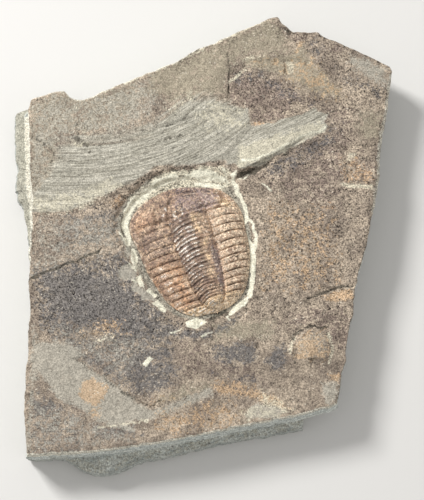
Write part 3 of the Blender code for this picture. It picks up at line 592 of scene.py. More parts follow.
# Cream patches and strokes; some of the strokes are painted highlights on edges.
CREAM_PATCHES = (
    Patch(Tint.CREAM, (
        (-59.3, 10.5), (-48.0, 10.5), (-37.0, 14.0), (-27.0, 19.2), (-31.0, 21.4), (-42.0, 17.4),
        (-59.3, 15.0)), 0.72, 1.8),
    Patch(Tint.CREAM, (
        (-24.8, 15.4), (-22.0, 17.2), (-20.2, 19.4), (-18.2, 20.0), (-15.6, 22.4), (-12.4, 24.6),
        (-5.6, 25.1), (-0.6, 26.3), (5.6, 26.5), (9.6, 25.7), (10.5, 19.8), (5.0, 18.0), (-3.0, 19.4),
        (-10.0, 18.6), (-16.0, 15.6), (-21.0, 11.6)), 0.95, 0.7),
    Patch(Tint.CREAM, (
        (12.5, 26.4), (20.0, 27.6), (33.0, 34.6), (42.0, 39.5), (41.0, 42.5), (26.0, 37.0),
        (12.0, 33.0)), 1.0, 1.4),
    Patch(Tint.CREAM, ((-2.0, 44.0), (6.0, 50.0), (15.0, 46.0), (14.0, 40.0), (4.0, 38.0)), 0.55, 3.0),
    Patch(Tint.CREAM, (
        (-12.5, 46.5), (-4.0, 53.0), (0.0, 52.0), (-5.0, 48.0), (-10.0, 45.0)), 0.5, 1.5),
    Patch(Tint.CREAM, (
        (47.4, 20.9), (52.6, 20.3), (58.2, 20.2), (57.7, 18.6), (51.5, 18.8), (48.2, 19.4)), 0.8, 0.5),
    Patch(Tint.CREAM, (
        (48.6, 31.6), (51.0, 32.2), (53.0, 31.0), (51.6, 28.6), (48.0, 28.0), (49.4, 29.8)), 0.62, 0.7),
    Patch(Tint.CREAM, ((-44.5, 47.5), (-42.0, 46.5), (-41.0, 43.0), (-42.5, 44.5)), 0.45, 0.7),
    # Painted highlight beside a crack.
    Patch(Tint.CREAM, ((29.6, 64.0), (31.8, 62.0), (31.2, 59.0), (29.8, 59.0)), 0.85, 0.5),
    Patch(Tint.CREAM, (
        (20.0, -50.5), (27.0, -53.5), (31.5, -58.0), (26.0, -60.0), (14.0, -60.5), (13.0, -57.5),
        (20.0, -55.0)), 0.55, 1.5),
    Patch(Tint.CREAM, (
        (-36.0, -33.0), (-33.0, -31.0), (-30.0, -31.5), (-31.0, -34.5), (-35.0, -36.0)), 0.5, 1.5),
    # Painted highlights along the edge of the thin upper lamina.
    Stroke(Tint.CREAM, ((9.6, 55.6), (12.4, 58.6), (16.0, 61.4)), (1.3, 0.9), 0.85),
    Stroke(Tint.CREAM, ((10.5, 61.5), (15.5, 64.4), (21.0, 65.2)), (0.9, 0.8), 0.6),
    # Painted highlight along the far top edge.
    Stroke(Tint.CREAM, (
        (-36.0, 51.6), (-24.0, 57.0), (-8.6, 63.4), (3.5, 69.4), (22.0, 78.0)), (1.1, 0.9), 0.8),
    Stroke(Tint.CREAM, ((-44.6, 35.6), (-42.6, 34.0), (-39.6, 34.6), (-38.0, 32.6)), (1.0, 0.9), 0.7),
    Stroke(Tint.CREAM, ((-41.4, 40.6), (-40.4, 38.6), (-38.6, 36.4)), (0.9, 0.8), 0.55),
    Stroke(Tint.CREAM, ((29.8, -37.6), (30.2, -35.0), (31.0, -33.2)), (1.1, 0.8), 0.95),
    Stroke(Tint.CREAM, ((42.6, -31.6), (43.6, -35.0), (44.0, -38.0), (43.0, -40.8)), (1.0, 0.9), 0.85),
    Stroke(Tint.CREAM, ((-33.9, -62.8), (-26.0, -61.6), (-17.6, -60.4)), (1.0, 0.9), 0.7),
)
POWDER_PATCHES = (
    Patch(Tint.POWDER, (
        (-26.1, 7.7), (-27.0, 9.1), (-26.4, 11.8), (-25.4, 14.3), (-23.0, 16.0), (-21.4, 16.9),
        (-19.2, 18.7), (-16.6, 20.6), (-17.0, 18.6), (-19.4, 15.6), (-20.8, 13.9), (-22.4, 12.8),
        (-23.6, 10.9), (-24.8, 9.0), (-25.2, 7.7)), 1.0, 0.4),
    Patch(Tint.POWDER, (
        (-19.0, 18.8), (-16.0, 21.4), (-14.0, 22.9), (-10.5, 23.9), (-7.5, 23.4), (-10.0, 21.6),
        (-15.0, 19.4), (-17.4, 17.4)), 1.0, 0.5),
    Patch(Tint.POWDER, (
        (-8.5, 22.6), (-4.0, 24.0), (-2.2, 25.2), (1.3, 25.0), (4.8, 24.4), (7.8, 22.8), (7.7, 21.2),
        (4.8, 21.4), (1.3, 21.9), (-2.2, 22.2), (-5.7, 22.0)), 1.0, 0.5),
    Patch(Tint.POWDER, (
        (-3.1, 21.0), (1.3, 21.4), (4.8, 20.3), (7.4, 19.8), (9.7, 21.0), (7.6, 19.1), (4.8, 18.5),
        (1.6, 19.1), (-2.2, 19.8)), 0.95, 0.3),
    Patch(Tint.POWDER, ((10.0, 23.4), (11.8, 25.1), (11.9, 23.4), (11.4, 21.6)), 0.9, 0.3),
    *(Patch(Tint.POWDER, scar, 1.0, 0.22) for scar in POWDER_SCARS),
    Patch(Tint.POWDER, (
        (8.6, -23.9), (12.0, -21.5), (14.8, -19.1), (16.3, -18.6), (14.8, -21.5), (11.3, -24.2),
        (9.4, -25.3)), 0.95, 0.25),
    Patch(Tint.POWDER, ((-20.3, -41.9), (-17.8, -38.9), (-16.2, -39.6), (-18.6, -42.8)), 1.0, 0.4),
    Patch(Tint.POWDER, (
        (-12.4, 18.0), (-10.4, 18.9), (-8.9, 18.9), (-8.7, 18.3), (-10.4, 17.7)), 0.75, 0.3),
)
POWDER_STROKES = (
    Stroke(Tint.POWDER, (
        (-24.6, 12.4), (-25.8, 8.5), (-26.5, 6.2), (-25.6, 3.8), (-25.1, 2.0), (-25.0, -0.8)),
        (2.6, 1.4)),
    Stroke(Tint.POWDER, ((-28.3, 3.8), (-26.7, 1.5), (-25.5, -0.8)), (0.6, 0.9)),
    Stroke(Tint.POWDER, ((58.2, 20.0), (49.0, 19.2)), (0.5, 0.5), 0.4),
    Stroke(Tint.POWDER, ((20.6, 20.6), (22.8, 19.6), (23.6, 17.9)), (0.7, 0.6), 0.8),
    Stroke(Tint.POWDER, ((-24.7, -7.1), (-23.5, -8.5), (-22.4, -10.0)), (0.5, 0.8)),
    Stroke(Tint.POWDER, ((-23.7, -12.8), (-22.0, -14.0)), (0.6, 0.6)),
    Stroke(Tint.POWDER, (
        (10.9, 21.8), (11.6, 19.4), (12.3, 17.3), (13.5, 15.9), (14.2, 14.1), (15.0, 11.8),
        (15.2, 9.8)), (1.5, 1.1)),
    Stroke(Tint.POWDER, (
        (15.2, 9.8), (14.9, 8.2), (14.3, 5.9), (15.0, 4.2), (15.7, 2.0), (16.8, -0.9), (17.1, -2.4)),
        (1.1, 1.5)),
    Stroke(Tint.POWDER, (
        (15.6, 8.6), (16.9, 7.3), (17.8, 5.9), (17.6, 3.8), (18.4, 2.0), (18.1, -1.6), (17.3, -3.4)),
        (0.8, 1.1)),
    Stroke(Tint.POWDER, (
        (17.0, -2.4), (17.3, -5.1), (17.1, -8.1), (17.5, -11.1), (17.2, -13.0), (16.8, -15.4),
        (16.4, -18.6)), (2.0, 1.4)),
    Stroke(Tint.POWDER, ((17.2, -5.3), (17.9, -8.0), (17.4, -11.2)), (0.6, 0.9), 0.9),
    Stroke(Tint.POWDER, ((8.4, -25.1), (9.7, -26.4)), (0.7, 0.5)),
    Stroke(Tint.POWDER, ((7.6, 27.0), (7.9, 24.2), (8.4, 22.5), (8.8, 21.0)), (0.45, 0.7), 0.85),
    Stroke(Tint.POWDER, ((12.2, 21.9), (14.6, 22.2), (16.2, 23.6)), (0.5, 0.4), 0.8),
    Stroke(Tint.POWDER, ((-10.4, -31.0), (-6.1, -29.3)), (0.8, 0.7), 0.7),
    Stroke(Tint.POWDER, ((0.1, -32.4), (3.6, -30.8)), (1.0, 1.0), 0.6),
    Stroke(Tint.POWDER, (
        (13.5, 28.0), (19.0, 28.6), (26.0, 31.8), (33.0, 36.0), (42.6, 40.4)), (1.2, 0.9), 0.75),
)
# Painted shade: dark lines in cracks and under ledges and steps, where shade falls.
PAINTED_SHADE_MARKS = (
    Stroke(Tint.DARK, (
        (-29.3, 17.2), (-26.2, 18.9), (-24.4, 19.2), (-23.0, 19.8), (-21.6, 21.2), (-20.1, 22.3),
        (-18.1, 23.2), (-17.1, 24.4), (-16.1, 25.5), (-14.2, 25.7)), (0.7, 0.8), 0.62),
    Stroke(Tint.DARK, (
        (-27.5, 16.0), (-25.4, 16.1), (-23.0, 16.9), (-22.2, 17.9), (-20.9, 19.6), (-18.8, 20.4),
        (-16.1, 22.8), (-14.0, 23.8), (-12.6, 25.1), (-8.7, 25.2), (-5.6, 25.5), (-0.6, 26.7),
        (5.6, 26.9), (9.4, 26.2)), (0.7, 0.6), 0.62),
    Patch(Tint.DARK, (
        (11.9, 24.1), (13.0, 25.0), (15.3, 25.2), (19.9, 26.6), (24.0, 28.9), (23.0, 27.2),
        (17.9, 23.9), (15.3, 23.0), (13.2, 22.5), (12.1, 22.3)), 1.0, 0.5),
    Stroke(Tint.DARK, ((22.0, 27.0), (28.0, 30.4), (33.7, 33.8), (38.0, 36.2)), (0.8, 0.4), 0.65, 0.4),
    Stroke(Tint.DARK, (
        (-18.1, 15.9), (-16.0, 16.8), (-14.6, 17.6), (-12.9, 18.9), (-10.8, 19.8), (-9.1, 20.7),
        (-6.6, 19.9)), (0.5, 0.5), 0.8),
    Stroke(Tint.DARK, (
        (-13.0, 20.2), (-7.0, 22.0), (-1.5, 21.9), (3.5, 20.9), (7.0, 20.3)), (0.4, 0.4), 0.55),
    Stroke(Tint.DARK, (
        (36.4, -19.4), (40.0, -17.6), (43.5, -16.3), (48.0, -15.4), (51.5, -15.0)), (0.7, 1.0), 0.95),
    Stroke(Tint.DARK, (
        (30.2, -33.6), (31.6, -31.2), (34.5, -29.6), (38.5, -28.8), (42.2, -29.4)), (0.9, 0.8), 0.8),
    Stroke(Tint.DARK, ((33.2, -40.6), (37.3, -39.8), (40.5, -41.8), (42.4, -41.4)), (0.8, 0.8), 0.6),
    Stroke(Tint.DARK, ((31.4, -34.6), (31.0, -38.4), (31.6, -42.6)), (0.8, 0.7), 0.65),
    Stroke(Tint.DARK, ((9.0, 66.0), (9.4, 60.0), (9.0, 51.0)), (0.8, 0.8), 0.75),
    Stroke(Tint.DARK, ((28.4, 63.6), (28.6, 61.0), (28.9, 57.6)), (0.9, 0.7), 0.85),
    Stroke(Tint.DARK, ((35.7, 63.6), (36.0, 60.6)), (0.8, 0.7), 0.7),
    Stroke(Tint.DARK, (
        (-59.7, 36.8), (-56.3, 35.4), (-53.9, 34.0), (-50.4, 30.4), (-52.0, 27.6)), (0.7, 0.9), 0.8),
    Stroke(Tint.DARK, (
        (-43.0, 41.6), (-42.0, 38.5), (-43.0, 36.2), (-41.2, 34.8), (-39.2, 33.4), (-38.2, 31.2)),
        (0.8, 0.8), 0.85),
    Stroke(Tint.DARK, ((-58.4, -12.6), (-48.1, -8.3), (-40.0, -5.2), (-34.0, -2.4)), (0.9, 0.8), 0.95),
    Stroke(Tint.DARK, ((-28.0, 35.4), (-14.0, 35.0), (-5.0, 38.0)), (0.8, 0.7), 0.5),
    Stroke(Tint.DARK, ((-24.0, 39.0), (-15.0, 38.4), (-9.0, 41.6), (-2.0, 46.4)), (0.8, 0.7), 0.6),
    Stroke(Tint.DARK, ((-43.0, -39.4), (-28.0, -50.2), (-17.0, -56.0), (-9.0, -51.2)), (0.9, 0.8), 0.6),
    Patch(Tint.DARK, ((26.4, 78.6), (28.8, 76.4), (31.9, 73.8), (31.2, 72.0), (27.9, 74.3)), 0.6, 0.7),
    Stroke(Tint.DARK, ((49.0, 27.4), (50.6, 25.0), (49.8, 22.0)), (0.7, 0.5), 0.55),
    Patch(Tint.DARK, (
        (2.8, -25.2), (5.1, -23.8), (8.2, -23.0), (9.7, -23.6), (7.4, -25.2), (4.3, -27.2),
        (2.4, -27.7)), 0.7, 0.5),
    Stroke(Tint.DARK, ((16.4, 7.6), (17.0, 5.0), (17.2, 2.2), (17.7, -0.6)), (0.5, 0.7), 0.55),
    Stroke(Tint.DARK, ((16.5, -12.0), (16.2, -15.0), (15.0, -18.4)), (0.5, 0.7), 0.55),
)
TOP_MARKS = (STAIN_PATCHES + UMBER_PATCHES + KHAKI_PATCHES + CLEAN_PATCHES + RUST_PATCHES + SCRAPE_PATCHES
             + CREAM_PATCHES + POWDER_PATCHES + POWDER_STROKES + PAINTED_SHADE_MARKS)

CHIPS = (
    Chip(CLEAN_SCARS[0], 0.28, (-0.05, -0.02)),
    Chip(CLEAN_SCARS[1], 0.3, (-0.05, -0.04)),
    Chip(POWDER_SCARS[0], 0.2, (-0.18, 0.05)),
    Chip(POWDER_SCARS[1], 0.2, (-0.15, -0.1)),
    Chip(POWDER_SCARS[2], 0.15, (-0.12, -0.1)),
    Chip(POWDER_SCARS[3], 0.15, (-0.1, -0.12)),
    Chip(POWDER_SCARS[4], 0.2, (0.0, -0.1)),
    Chip(
        ((26.4, 78.6), (28.8, 76.4), (31.9, 73.8), (31.0, 71.4),
        (27.2, 74.0)), 0.55, (0.05, 0.04), 0.6),
    Chip(
        ((46.8, 33.4), (50.6, 32.2), (54.4, 30.0), (58.7, 26.6), (58.1, 22.2), (51.5, 21.0),
        (49.4, 23.3), (50.0, 27.7)), 0.35, (0.03, -0.03), 0.5),
    Chip(
        ((11.9, 24.1), (13.0, 25.0), (15.3, 25.2), (19.9, 26.6), (24.0, 28.9), (23.0, 27.2),
        (17.9, 23.9), (15.3, 22.8), (13.2, 22.3), (12.1, 22.3)), 0.55, (0.0, 0.0), 0.5),
)


# The slab's form


@dataclass(frozen=True)
class Oval:
    """An oval place on the bedding plane."""

    place: Place
    radii: Place
    turn: float

    def share(self, points: np.ndarray) -> np.ndarray:
        """Return each point's distance from the oval's middle, 1 on its edge."""
        moved = points - np.array(self.place)
        c, s = math.cos(self.turn), math.sin(self.turn)
        return np.hypot((moved[:, 0] * c + moved[:, 1] * s) / self.radii[0],
                        (-moved[:, 0] * s + moved[:, 1] * c) / self.radii[1])


@dataclass
class FossilSeat:
    """Where the fossil lies: its own frame, its outline and the trough cut round it."""

    place: Place = (-0.9, -2.8)
    turn: float = math.radians(16.5)
    seat_z: float = 12.75
    rise_to_right: float = 0.020
    rise_to_head: float = -0.012
    right_margin: tuple[Place, ...] = (
        (0.0, 23.0), (4.0, 21.9), (8.3, 20.5), (12.6, 18.4), (15.4, 15.2), (17.0, 11.8), (17.7, 8.1),
        (17.4, 3.5), (17.0, -1.2), (16.4, -5.4), (15.3, -9.0), (13.8, -12.6), (12.0, -16.0), (9.2, -19.0),
        (4.9, -21.2), (0.0, -22.0))
    left_margin: tuple[Place, ...] = (
        (0.0, 23.0), (-5.1, 23.3), (-10.9, 22.1), (-14.6, 20.7), (-17.6, 18.6), (-19.7, 16.3), (-20.8, 13.3),
        (-20.5, 9.9), (-19.8, 5.6), (-19.4, 1.3), (-18.7, -3.4), (-17.3, -8.4), (-15.8, -12.9),
        (-13.6, -16.5), (-10.8, -19.3), (-6.9, -21.3), (0.0, -22.0))
    trough_width: float = 2.9
    extra_at_head: float = 4.4
    extra_at_left: float = 1.7
    trough_profile: tuple[Place, ...] = ((0.0, 0.0), (0.38, 0.0), (0.52, 0.5), (0.8, 0.6), (1.0, 1.0))
    outline: np.ndarray = field(init=False)

    def __post_init__(self) -> None:
        """Join the two margins into one outline, clockwise from the middle of the head's front."""
        right, left = smooth_curve(self.right_margin, 4), smooth_curve(self.left_margin, 4)
        self.outline = np.vstack((right[:-1], left[::-1][:-1]))

    def to_local(self, points: np.ndarray) -> np.ndarray:
        """Turn slab positions into the fossil's frame."""
        moved = points - np.array(self.place)
        c, s = math.cos(self.turn), math.sin(self.turn)
        return np.column_stack((moved[:, 0] * c + moved[:, 1] * s, moved[:, 1] * c - moved[:, 0] * s))

    def to_slab(self, local: np.ndarray) -> np.ndarray:
        """Turn positions in the fossil's frame into slab positions."""
        c, s = math.cos(self.turn), math.sin(self.turn)
        return np.column_stack((local[:, 0] * c - local[:, 1] * s + self.place[0],
                                local[:, 0] * s + local[:, 1] * c + self.place[1]))

    def floor(self, local: np.ndarray) -> np.ndarray:
        """Return the height of the trough's floor, a plane tilted like the fossil."""
        return self.seat_z + self.rise_to_right * local[:, 0] + self.rise_to_head * local[:, 1]

    def gap(self, local: np.ndarray) -> np.ndarray:
        """Return the distance to the fossil's outline, negative inside it."""
        return -distance_inside(local, self.outline)

    def width(self, local: np.ndarray) -> np.ndarray:
        """Return the trough's width beside each point: widest at the head and the left."""
        angle = np.arctan2(local[:, 1], local[:, 0])
        toward_head = np.clip(np.sin(angle), 0.0, 1.0)
        toward_left = np.clip(-np.cos(angle), 0.0, 1.0)
        return self.trough_width + self.extra_at_head * toward_head**1.5 + self.extra_at_left * toward_left**2


@dataclass
class BeddingPlane:
    """The slab's top: the solid's own height, with everything too fine for the solid."""

    seat: FossilSeat
    level: float = 14.0
    north_rise: float = 1.1
    undulation: float = 0.35
    undulation_size: float = 26.0
    fan_edge: tuple[Place, ...] = (
        (-59.3, 11.2), (-48.4, 10.5), (-34.8, 14.7), (-24.5, 18.0), (-17.7, 19.5), (-7.5, 23.0), (6.0, 23.0),
        (11.5, 22.0), (15.2, 25.0), (23.4, 29.4), (33.7, 35.7), (42.4, 40.0), (66.0, 44.0))
    fan_step: tuple[Place, ...] = (
        (-60.0, 0.15), (-35.0, 0.4), (-18.0, 0.7), (10.0, 0.8), (16.0, 1.2), (30.0, 1.1), (44.0, 0.1),
        (66.0, 0.0))
    fan_ramp: float = 22.0
    step_half_width: float = 0.3
    lamina_edge: tuple[Place, ...] = (
        (9.0, 50.6), (9.0, 57.0), (10.8, 60.6), (14.9, 63.4), (20.8, 64.2), (34.0, 64.2), (35.7, 67.0),
        (35.9, 71.0))
    lamina_step: float = 0.5
    blister: Oval = Oval((36.8, -35.7), (7.0, 5.8), math.radians(-25.0))
    blister_height: float = 1.2
    hollow: Oval = Oval((44.5, -17.4), (8.0, 2.6), math.radians(-4.0))
    hollow_depth: float = 0.8
    terrace_step: float = 0.22
    dip_under_fossil: float = 0.8

    def on_lamina(self, points: np.ndarray) -> np.ndarray:
        """Return 1 on the thin upper lamina at the pointed end and 0 off it, with a ragged edge."""
        loop = np.array(self.lamina_edge + ((37.0, 90.0), (-20.0, 90.0), (-20.0, 50.6)))
        pushed = points + 0.5 * np.column_stack((ripple(points, 2.6, 31.0), ripple(points, 2.6, 37.0)))
        return ramp(-0.25, 0.25, distance_inside(pushed, loop)) * ramp(-16.0, 4.0, points[:, 0])

    def past_fan_edge(self, points: np.ndarray) -> np.ndarray:
        """Return how far each point lies beyond the step that ends the scraped fan."""
        rough = 0.5 * ripple(points, 3.2, 11.0) + 0.25 * ripple(points, 1.3, 13.0)
        return points[:, 1] - along(self.fan_edge, points[:, 0]) + rough

    def stroke_places(self, points: np.ndarray) -> tuple[np.ndarray, np.ndarray]:
        """Return where each point lies across and along the scratches of the scraped fan.

        Args:
            points: One (x, y) row for each place.

        Returns:
            Millimetres across the scratches, and millimetres along them.
        """
        x, y = points[:, 0], points[:, 1]
        sweep = y - 11.0 * (np.clip(x + 50.0, 0.0, None) / 50.0) ** 2.5
        steep = ramp(-0.8, 0.8, y - 41.0 - 0.3 * (x + 12.0)) * ramp(-17.0, -15.0, x)
        sweep += steep * (0.8 * y - 0.6 * x - sweep + 12.0)
        lean = math.radians(26.0)
        strip = y * math.cos(lean) - x * math.sin(lean)
        on_strip = ramp(-1.2, 1.2, (x - 8.0) * 0.9 - (y - 30.0) * 0.75)
        across = sweep * (1.0 - on_strip) + (strip + 40.0) * on_strip
        return across, x * (1.0 + 0.2 * on_strip) + y * 0.4

    def ground(self, points: np.ndarray) -> np.ndarray:
        """Return the height of the top as the solid has it, before the trough is cut.

        Args:
            points: One (x, y) row for each place.

        Returns:
            One height for each place.
        """
        past = self.past_fan_edge(points)
        step = along(self.fan_step, points[:, 0])
        height = self.level + self.undulation * ripple(points, self.undulation_size)
        face = 0.6 * ramp(-self.step_half_width, self.step_half_width, past)
        face += 0.4 * ramp(0.5, 0.9, past + 0.6 * ripple(points, 2.2, 17.0))
        height += step * face
        height += (self.north_rise - step) * ramp(0.0, self.fan_ramp, past)
        height += self.lamina_step * self.on_lamina(points)
        share = self.blister.share(points) + 0.12 * ripple(points, 3.0, 19.0)
        height += self.blister_height * np.clip(1.0 - share**2, 0.0, 1.0) ** 0.6
        share = self.hollow.share(points) + 0.25 * ripple(points, 2.0, 23.0)
        return height - self.hollow_depth * (1.0 - ramp(0.3, 1.0, share))

    def roughness(self, points: np.ndarray, tints: dict[Tint, np.ndarray]) -> np.ndarray:
        """Return the fine relief: thin broken layers, lumps, scratches, cracks and flake scars.

        Args:
            points: One (x, y) row for each place.
            tints: Amounts of each tint, because scraped and clean stone is smoother.

        Returns:
            The change of height at each place.
        """
        smooth = np.clip(tints[Tint.SCRAPE] + 0.7 * tints[Tint.CLEAN] + 0.5 * tints[Tint.CREAM], 0.0, 1.0)
        layers = 4.0 * rugged(points, 15.0, 4, 41.0)
        terrace = np.floor(layers) + ramp(0.8, 1.0, layers % 1.0)
        relief = self.terrace_step * terrace * (1.0 - 0.75 * smooth)
        relief += (0.17 * ripple(points, 3.6, 43.0) + 0.13 * ripple(points, 1.6, 47.0)
                   + 0.09 * ripple(points, 0.85, 53.0)) * (1.0 - 0.55 * smooth)
        across, run = self.stroke_places(points)
        grooves = ripple(np.column_stack((across, run / 22.0)), 1.5, 59.0)
        grooves += 0.5 * ripple(np.column_stack((across, run / 14.0)), 0.8, 61.0)
        relief += 0.07 * grooves * tints[Tint.SCRAPE]
        relief -= 0.2 * ramp(0.25, 0.9, tints[Tint.DARK])
        relief += 0.07 * ramp(0.2, 0.8, tints[Tint.POWDER]) * (1.0 + ripple(points, 0.9, 67.0))
        for chip in CHIPS:
            relief += chip.height(points)
        return relief

    def height(self, points: np.ndarray, tints: dict[Tint, np.ndarray]) -> np.ndarray:
        """Return the height of the finished top.

        Args:
            points: One (x, y) row for each place.
            tints: Amounts of each tint at the same places.

        Returns:
            One height for each place.
        """
        local = self.seat.to_local(points)
        gap = self.seat.gap(local)
        rough = 0.10 * ripple(points, 2.4, 71.0) + 0.05 * ripple(points, 1.0, 73.0)
        share = np.clip(gap, 0.0, None) / self.seat.width(local)
        wall = along(self.seat.trough_profile, share + rough * ramp(0.0, 0.3, share))
        floor = self.seat.floor(local)
        height = floor + (self.ground(points) - floor) * wall
        height += self.roughness(points, tints) * (0.35 + 0.65 * wall)
        return height - self.dip_under_fossil * ramp(0.1, 1.0, -gap)


@dataclass
class SlabPiece:
    """The slab, modelled as one closed mesh: a fine sheet for the top, walls drawn down from its
    border and the flat underside."""

    seat: FossilSeat
    name: str = "siltstone_slab"
    cells: tuple[int, int] = (232, 280)
    left_side: tuple[Place, ...] = (
        (-58.4, -72.4), (-59.7, -56.9), (-59.4, -43.5), (-58.7, -40.3), (-58.6, -30.0), (-58.2, -21.9),
        (-58.9, -13.7), (-58.5, -7.1), (-59.1, -2.7), (-58.2, 6.5), (-58.6, 14.8), (-59.3, 23.2),
        (-59.7, 34.4), (-60.2, 45.9))
    far_side: tuple[Place, ...] = (
        (-60.2, 45.9), (-58.5, 50.4), (-54.2, 51.6), (-50.2, 53.1), (-47.5, 53.2), (-45.5, 50.9),
        (-43.6, 50.0), (-41.3, 50.0), (-37.9, 51.0), (-31.2, 54.3), (-24.0, 57.2), (-14.7, 61.1),
        (-8.6, 63.7), (-3.1, 67.2), (3.5, 69.7), (10.7, 73.2), (19.0, 76.9), (24.0, 79.1), (26.2, 79.5),
        (28.2, 77.2), (31.7, 74.0), (36.7, 74.0), (40.3, 74.0), (43.3, 72.0), (50.5, 68.9), (58.8, 65.1),
        (65.3, 61.4), (66.0, 60.0))
    right_side: tuple[Place, ...] = (
        (66.0, 60.0), (65.2, 53.7), (64.2, 45.8), (63.0, 40.2), (61.5, 31.7), (61.4, 23.3), (60.5, 18.9),
        (58.4, 9.4), (56.7, 1.1), (55.8, -2.7), (53.8, -9.3), (52.1, -16.4), (51.4, -24.6), (49.8, -30.0),
        (48.9, -34.9), (48.8, -40.3), (47.2, -45.1), (46.3, -51.6), (45.5, -55.1))
    near_side: tuple[Place, ...] = (
        (45.5, -55.1), (42.5, -56.5), (38.2, -57.5), (35.2, -58.5), (33.4, -58.9), (23.3, -60.9),
        (12.6, -62.8), (1.1, -65.4), (-8.7, -67.1), (-16.9, -68.6), (-24.1, -69.7), (-34.9, -71.1),
        (-46.1, -71.7), (-58.4, -72.4))
    left_reach: tuple[Place, ...] = (
        (-72.0, 0.8), (-6.0, 0.6), (0.2, 1.3), (4.2, 2.2), (9.2, 3.1), (13.7, 4.1), (15.9, 5.5), (20.4, 6.3),
        (27.2, 5.1), (31.8, 6.1), (36.3, 5.9), (45.6, 5.9), (48.6, 0.4))
    near_reach: tuple[Place, ...] = (
        (-58.0, 1.5), (-46.9, 1.8), (-43.6, 3.7), (-39.8, 6.6), (-33.9, 8.5), (-28.4, 7.7), (-25.2, 6.3),
        (-19.8, 5.2), (-9.0, 5.0), (3.5, 4.2), (19.8, 4.6), (33.5, 4.7), (35.2, -2.4), (46.0, -2.4))
    lip_band: tuple[Place, ...] = ((-60.0, 2.6), (-45.0, 2.3), (-38.0, 1.4), (0.0, 1.1), (46.0, 1.2))
    wall_levels: tuple[float, ...] = (10.8, 7.8, 7.1, 5.2, 2.4, 0.6, 0.0)
    fine_across: Place = (0.25, 0.70)
    fine_up: Place = (0.25, 0.80)
    crease_angle: float = math.radians(55.0)
    lowest: Place = (-65.6, -78.9)
    highest: Place = (65.9, 79.4)
    hidden_reach: float = -1.8
    near_slope: float = 1.3
    side_slope: float = 0.5
    foot_undercut: float = 1.0
    edge_width: float = 0.8
    edge_drop: float = 0.6
    weathered_width: float = 2.0
    weathered_drop: float = 1.5
    ring_step: float = 0.01
    plane: BeddingPlane = field(init=False)

    def __post_init__(self) -> None:
        """Make the bedding plane that the top follows."""
        self.plane = BeddingPlane(self.seat)

    def build(self) -> bpy.types.Object:
        """Model the slab.

        Returns:
            The finished object, with an amount of each tint on its points.
        """
        item = new_sheet(self.name, *self.cells)
        rings = self._wall_profile()
        for _ in rings:
            draw_down(self.ring_step)
        bpy.ops.mesh.edge_face_add()
        bpy.ops.object.mode_set(mode="OBJECT")
        self._sculpt(item, rings)
        bpy.ops.object.mode_set(mode="EDIT")
        bpy.ops.mesh.select_all(action="SELECT")
        bpy.ops.mesh.normals_make_consistent(inside=False)
        bpy.ops.object.mode_set(mode="OBJECT")
        bpy.ops.object.shade_smooth_by_angle(angle=self.crease_angle)
        return item

    def _wall_profile(self) -> list[tuple[float, float]]:
        """Return the rings below the top's border, as (edge share, wall place).

        An edge share from 0 to 1 rounds the top edge. A wall place of 0 is the foot of that rounding, 2
        the joint between the beds, 3 the outer edge of the lower bed's ledge and 7 the underside.
        """
        rounding = [(share, 0.0) for share in (0.45, 0.8, 1.0)]
        upper_bed = [(1.0, place) for place in (0.3, 0.6, 0.9, 1.2, 1.5, 1.75, 1.95)]
        ledge = [(1.0, place) for place in (2.08, 2.25, 2.42, 2.6, 2.78, 2.92)]
        lower_bed = [(1.0, place) for place in (3.1, 3.35, 3.65, 4.0, 4.35, 4.7, 5.1, 5.5, 6.0, 6.4, 7.0)]
        return rounding + upper_bed + ledge + lower_bed

    def _clustered(self, count: int, low: float, high: float) -> np.ndarray:
        """Return rising shares from 0 to 1 that lie closer together between low and high."""
        fine = np.linspace(0.0, 1.0, 2001)
        rise, fall = ramp(low - 0.08, low + 0.02, fine), ramp(high - 0.02, high + 0.08, fine)
        density = 1.0 + 1.25 * rise * (1.0 - fall)
        run = np.concatenate(((0.0,), np.cumsum(0.5 * (density[1:] + density[:-1]))))
        return np.interp(np.linspace(0.0, 1.0, count + 1), run / run[-1], fine)

    def _side(self, corners: Sequence[Place], shares: np.ndarray) -> np.ndarray:
        """Return points along one side of the outline at shares of its length."""
        line = np.array(corners)
        run = run_length(line)
        return np.column_stack([np.interp(shares * run[-1], run, line[:, i]) for i in (0, 1)])

    def _rim(self, u: np.ndarray, v: np.ndarray) -> np.ndarray:
        """Return the slab's broken outline, clockwise from the near left corner."""
        loop = np.vstack((self._side(self.left_side, v)[:-1], self._side(self.far_side, u)[:-1],
                          self._side(self.right_side, 1.0 - v[::-1])[:-1],
                          self._side(self.near_side, 1.0 - u[::-1])[:-1]))
        normals = outward_normals(loop, 4)
        jagged = 0.36 * ripple(loop, 3.0, 4.0) + 0.20 * ripple(loop, 1.3, 5.0)
        return np.clip(loop + normals * (jagged - 0.18)[:, None], self.lowest, self.highest)

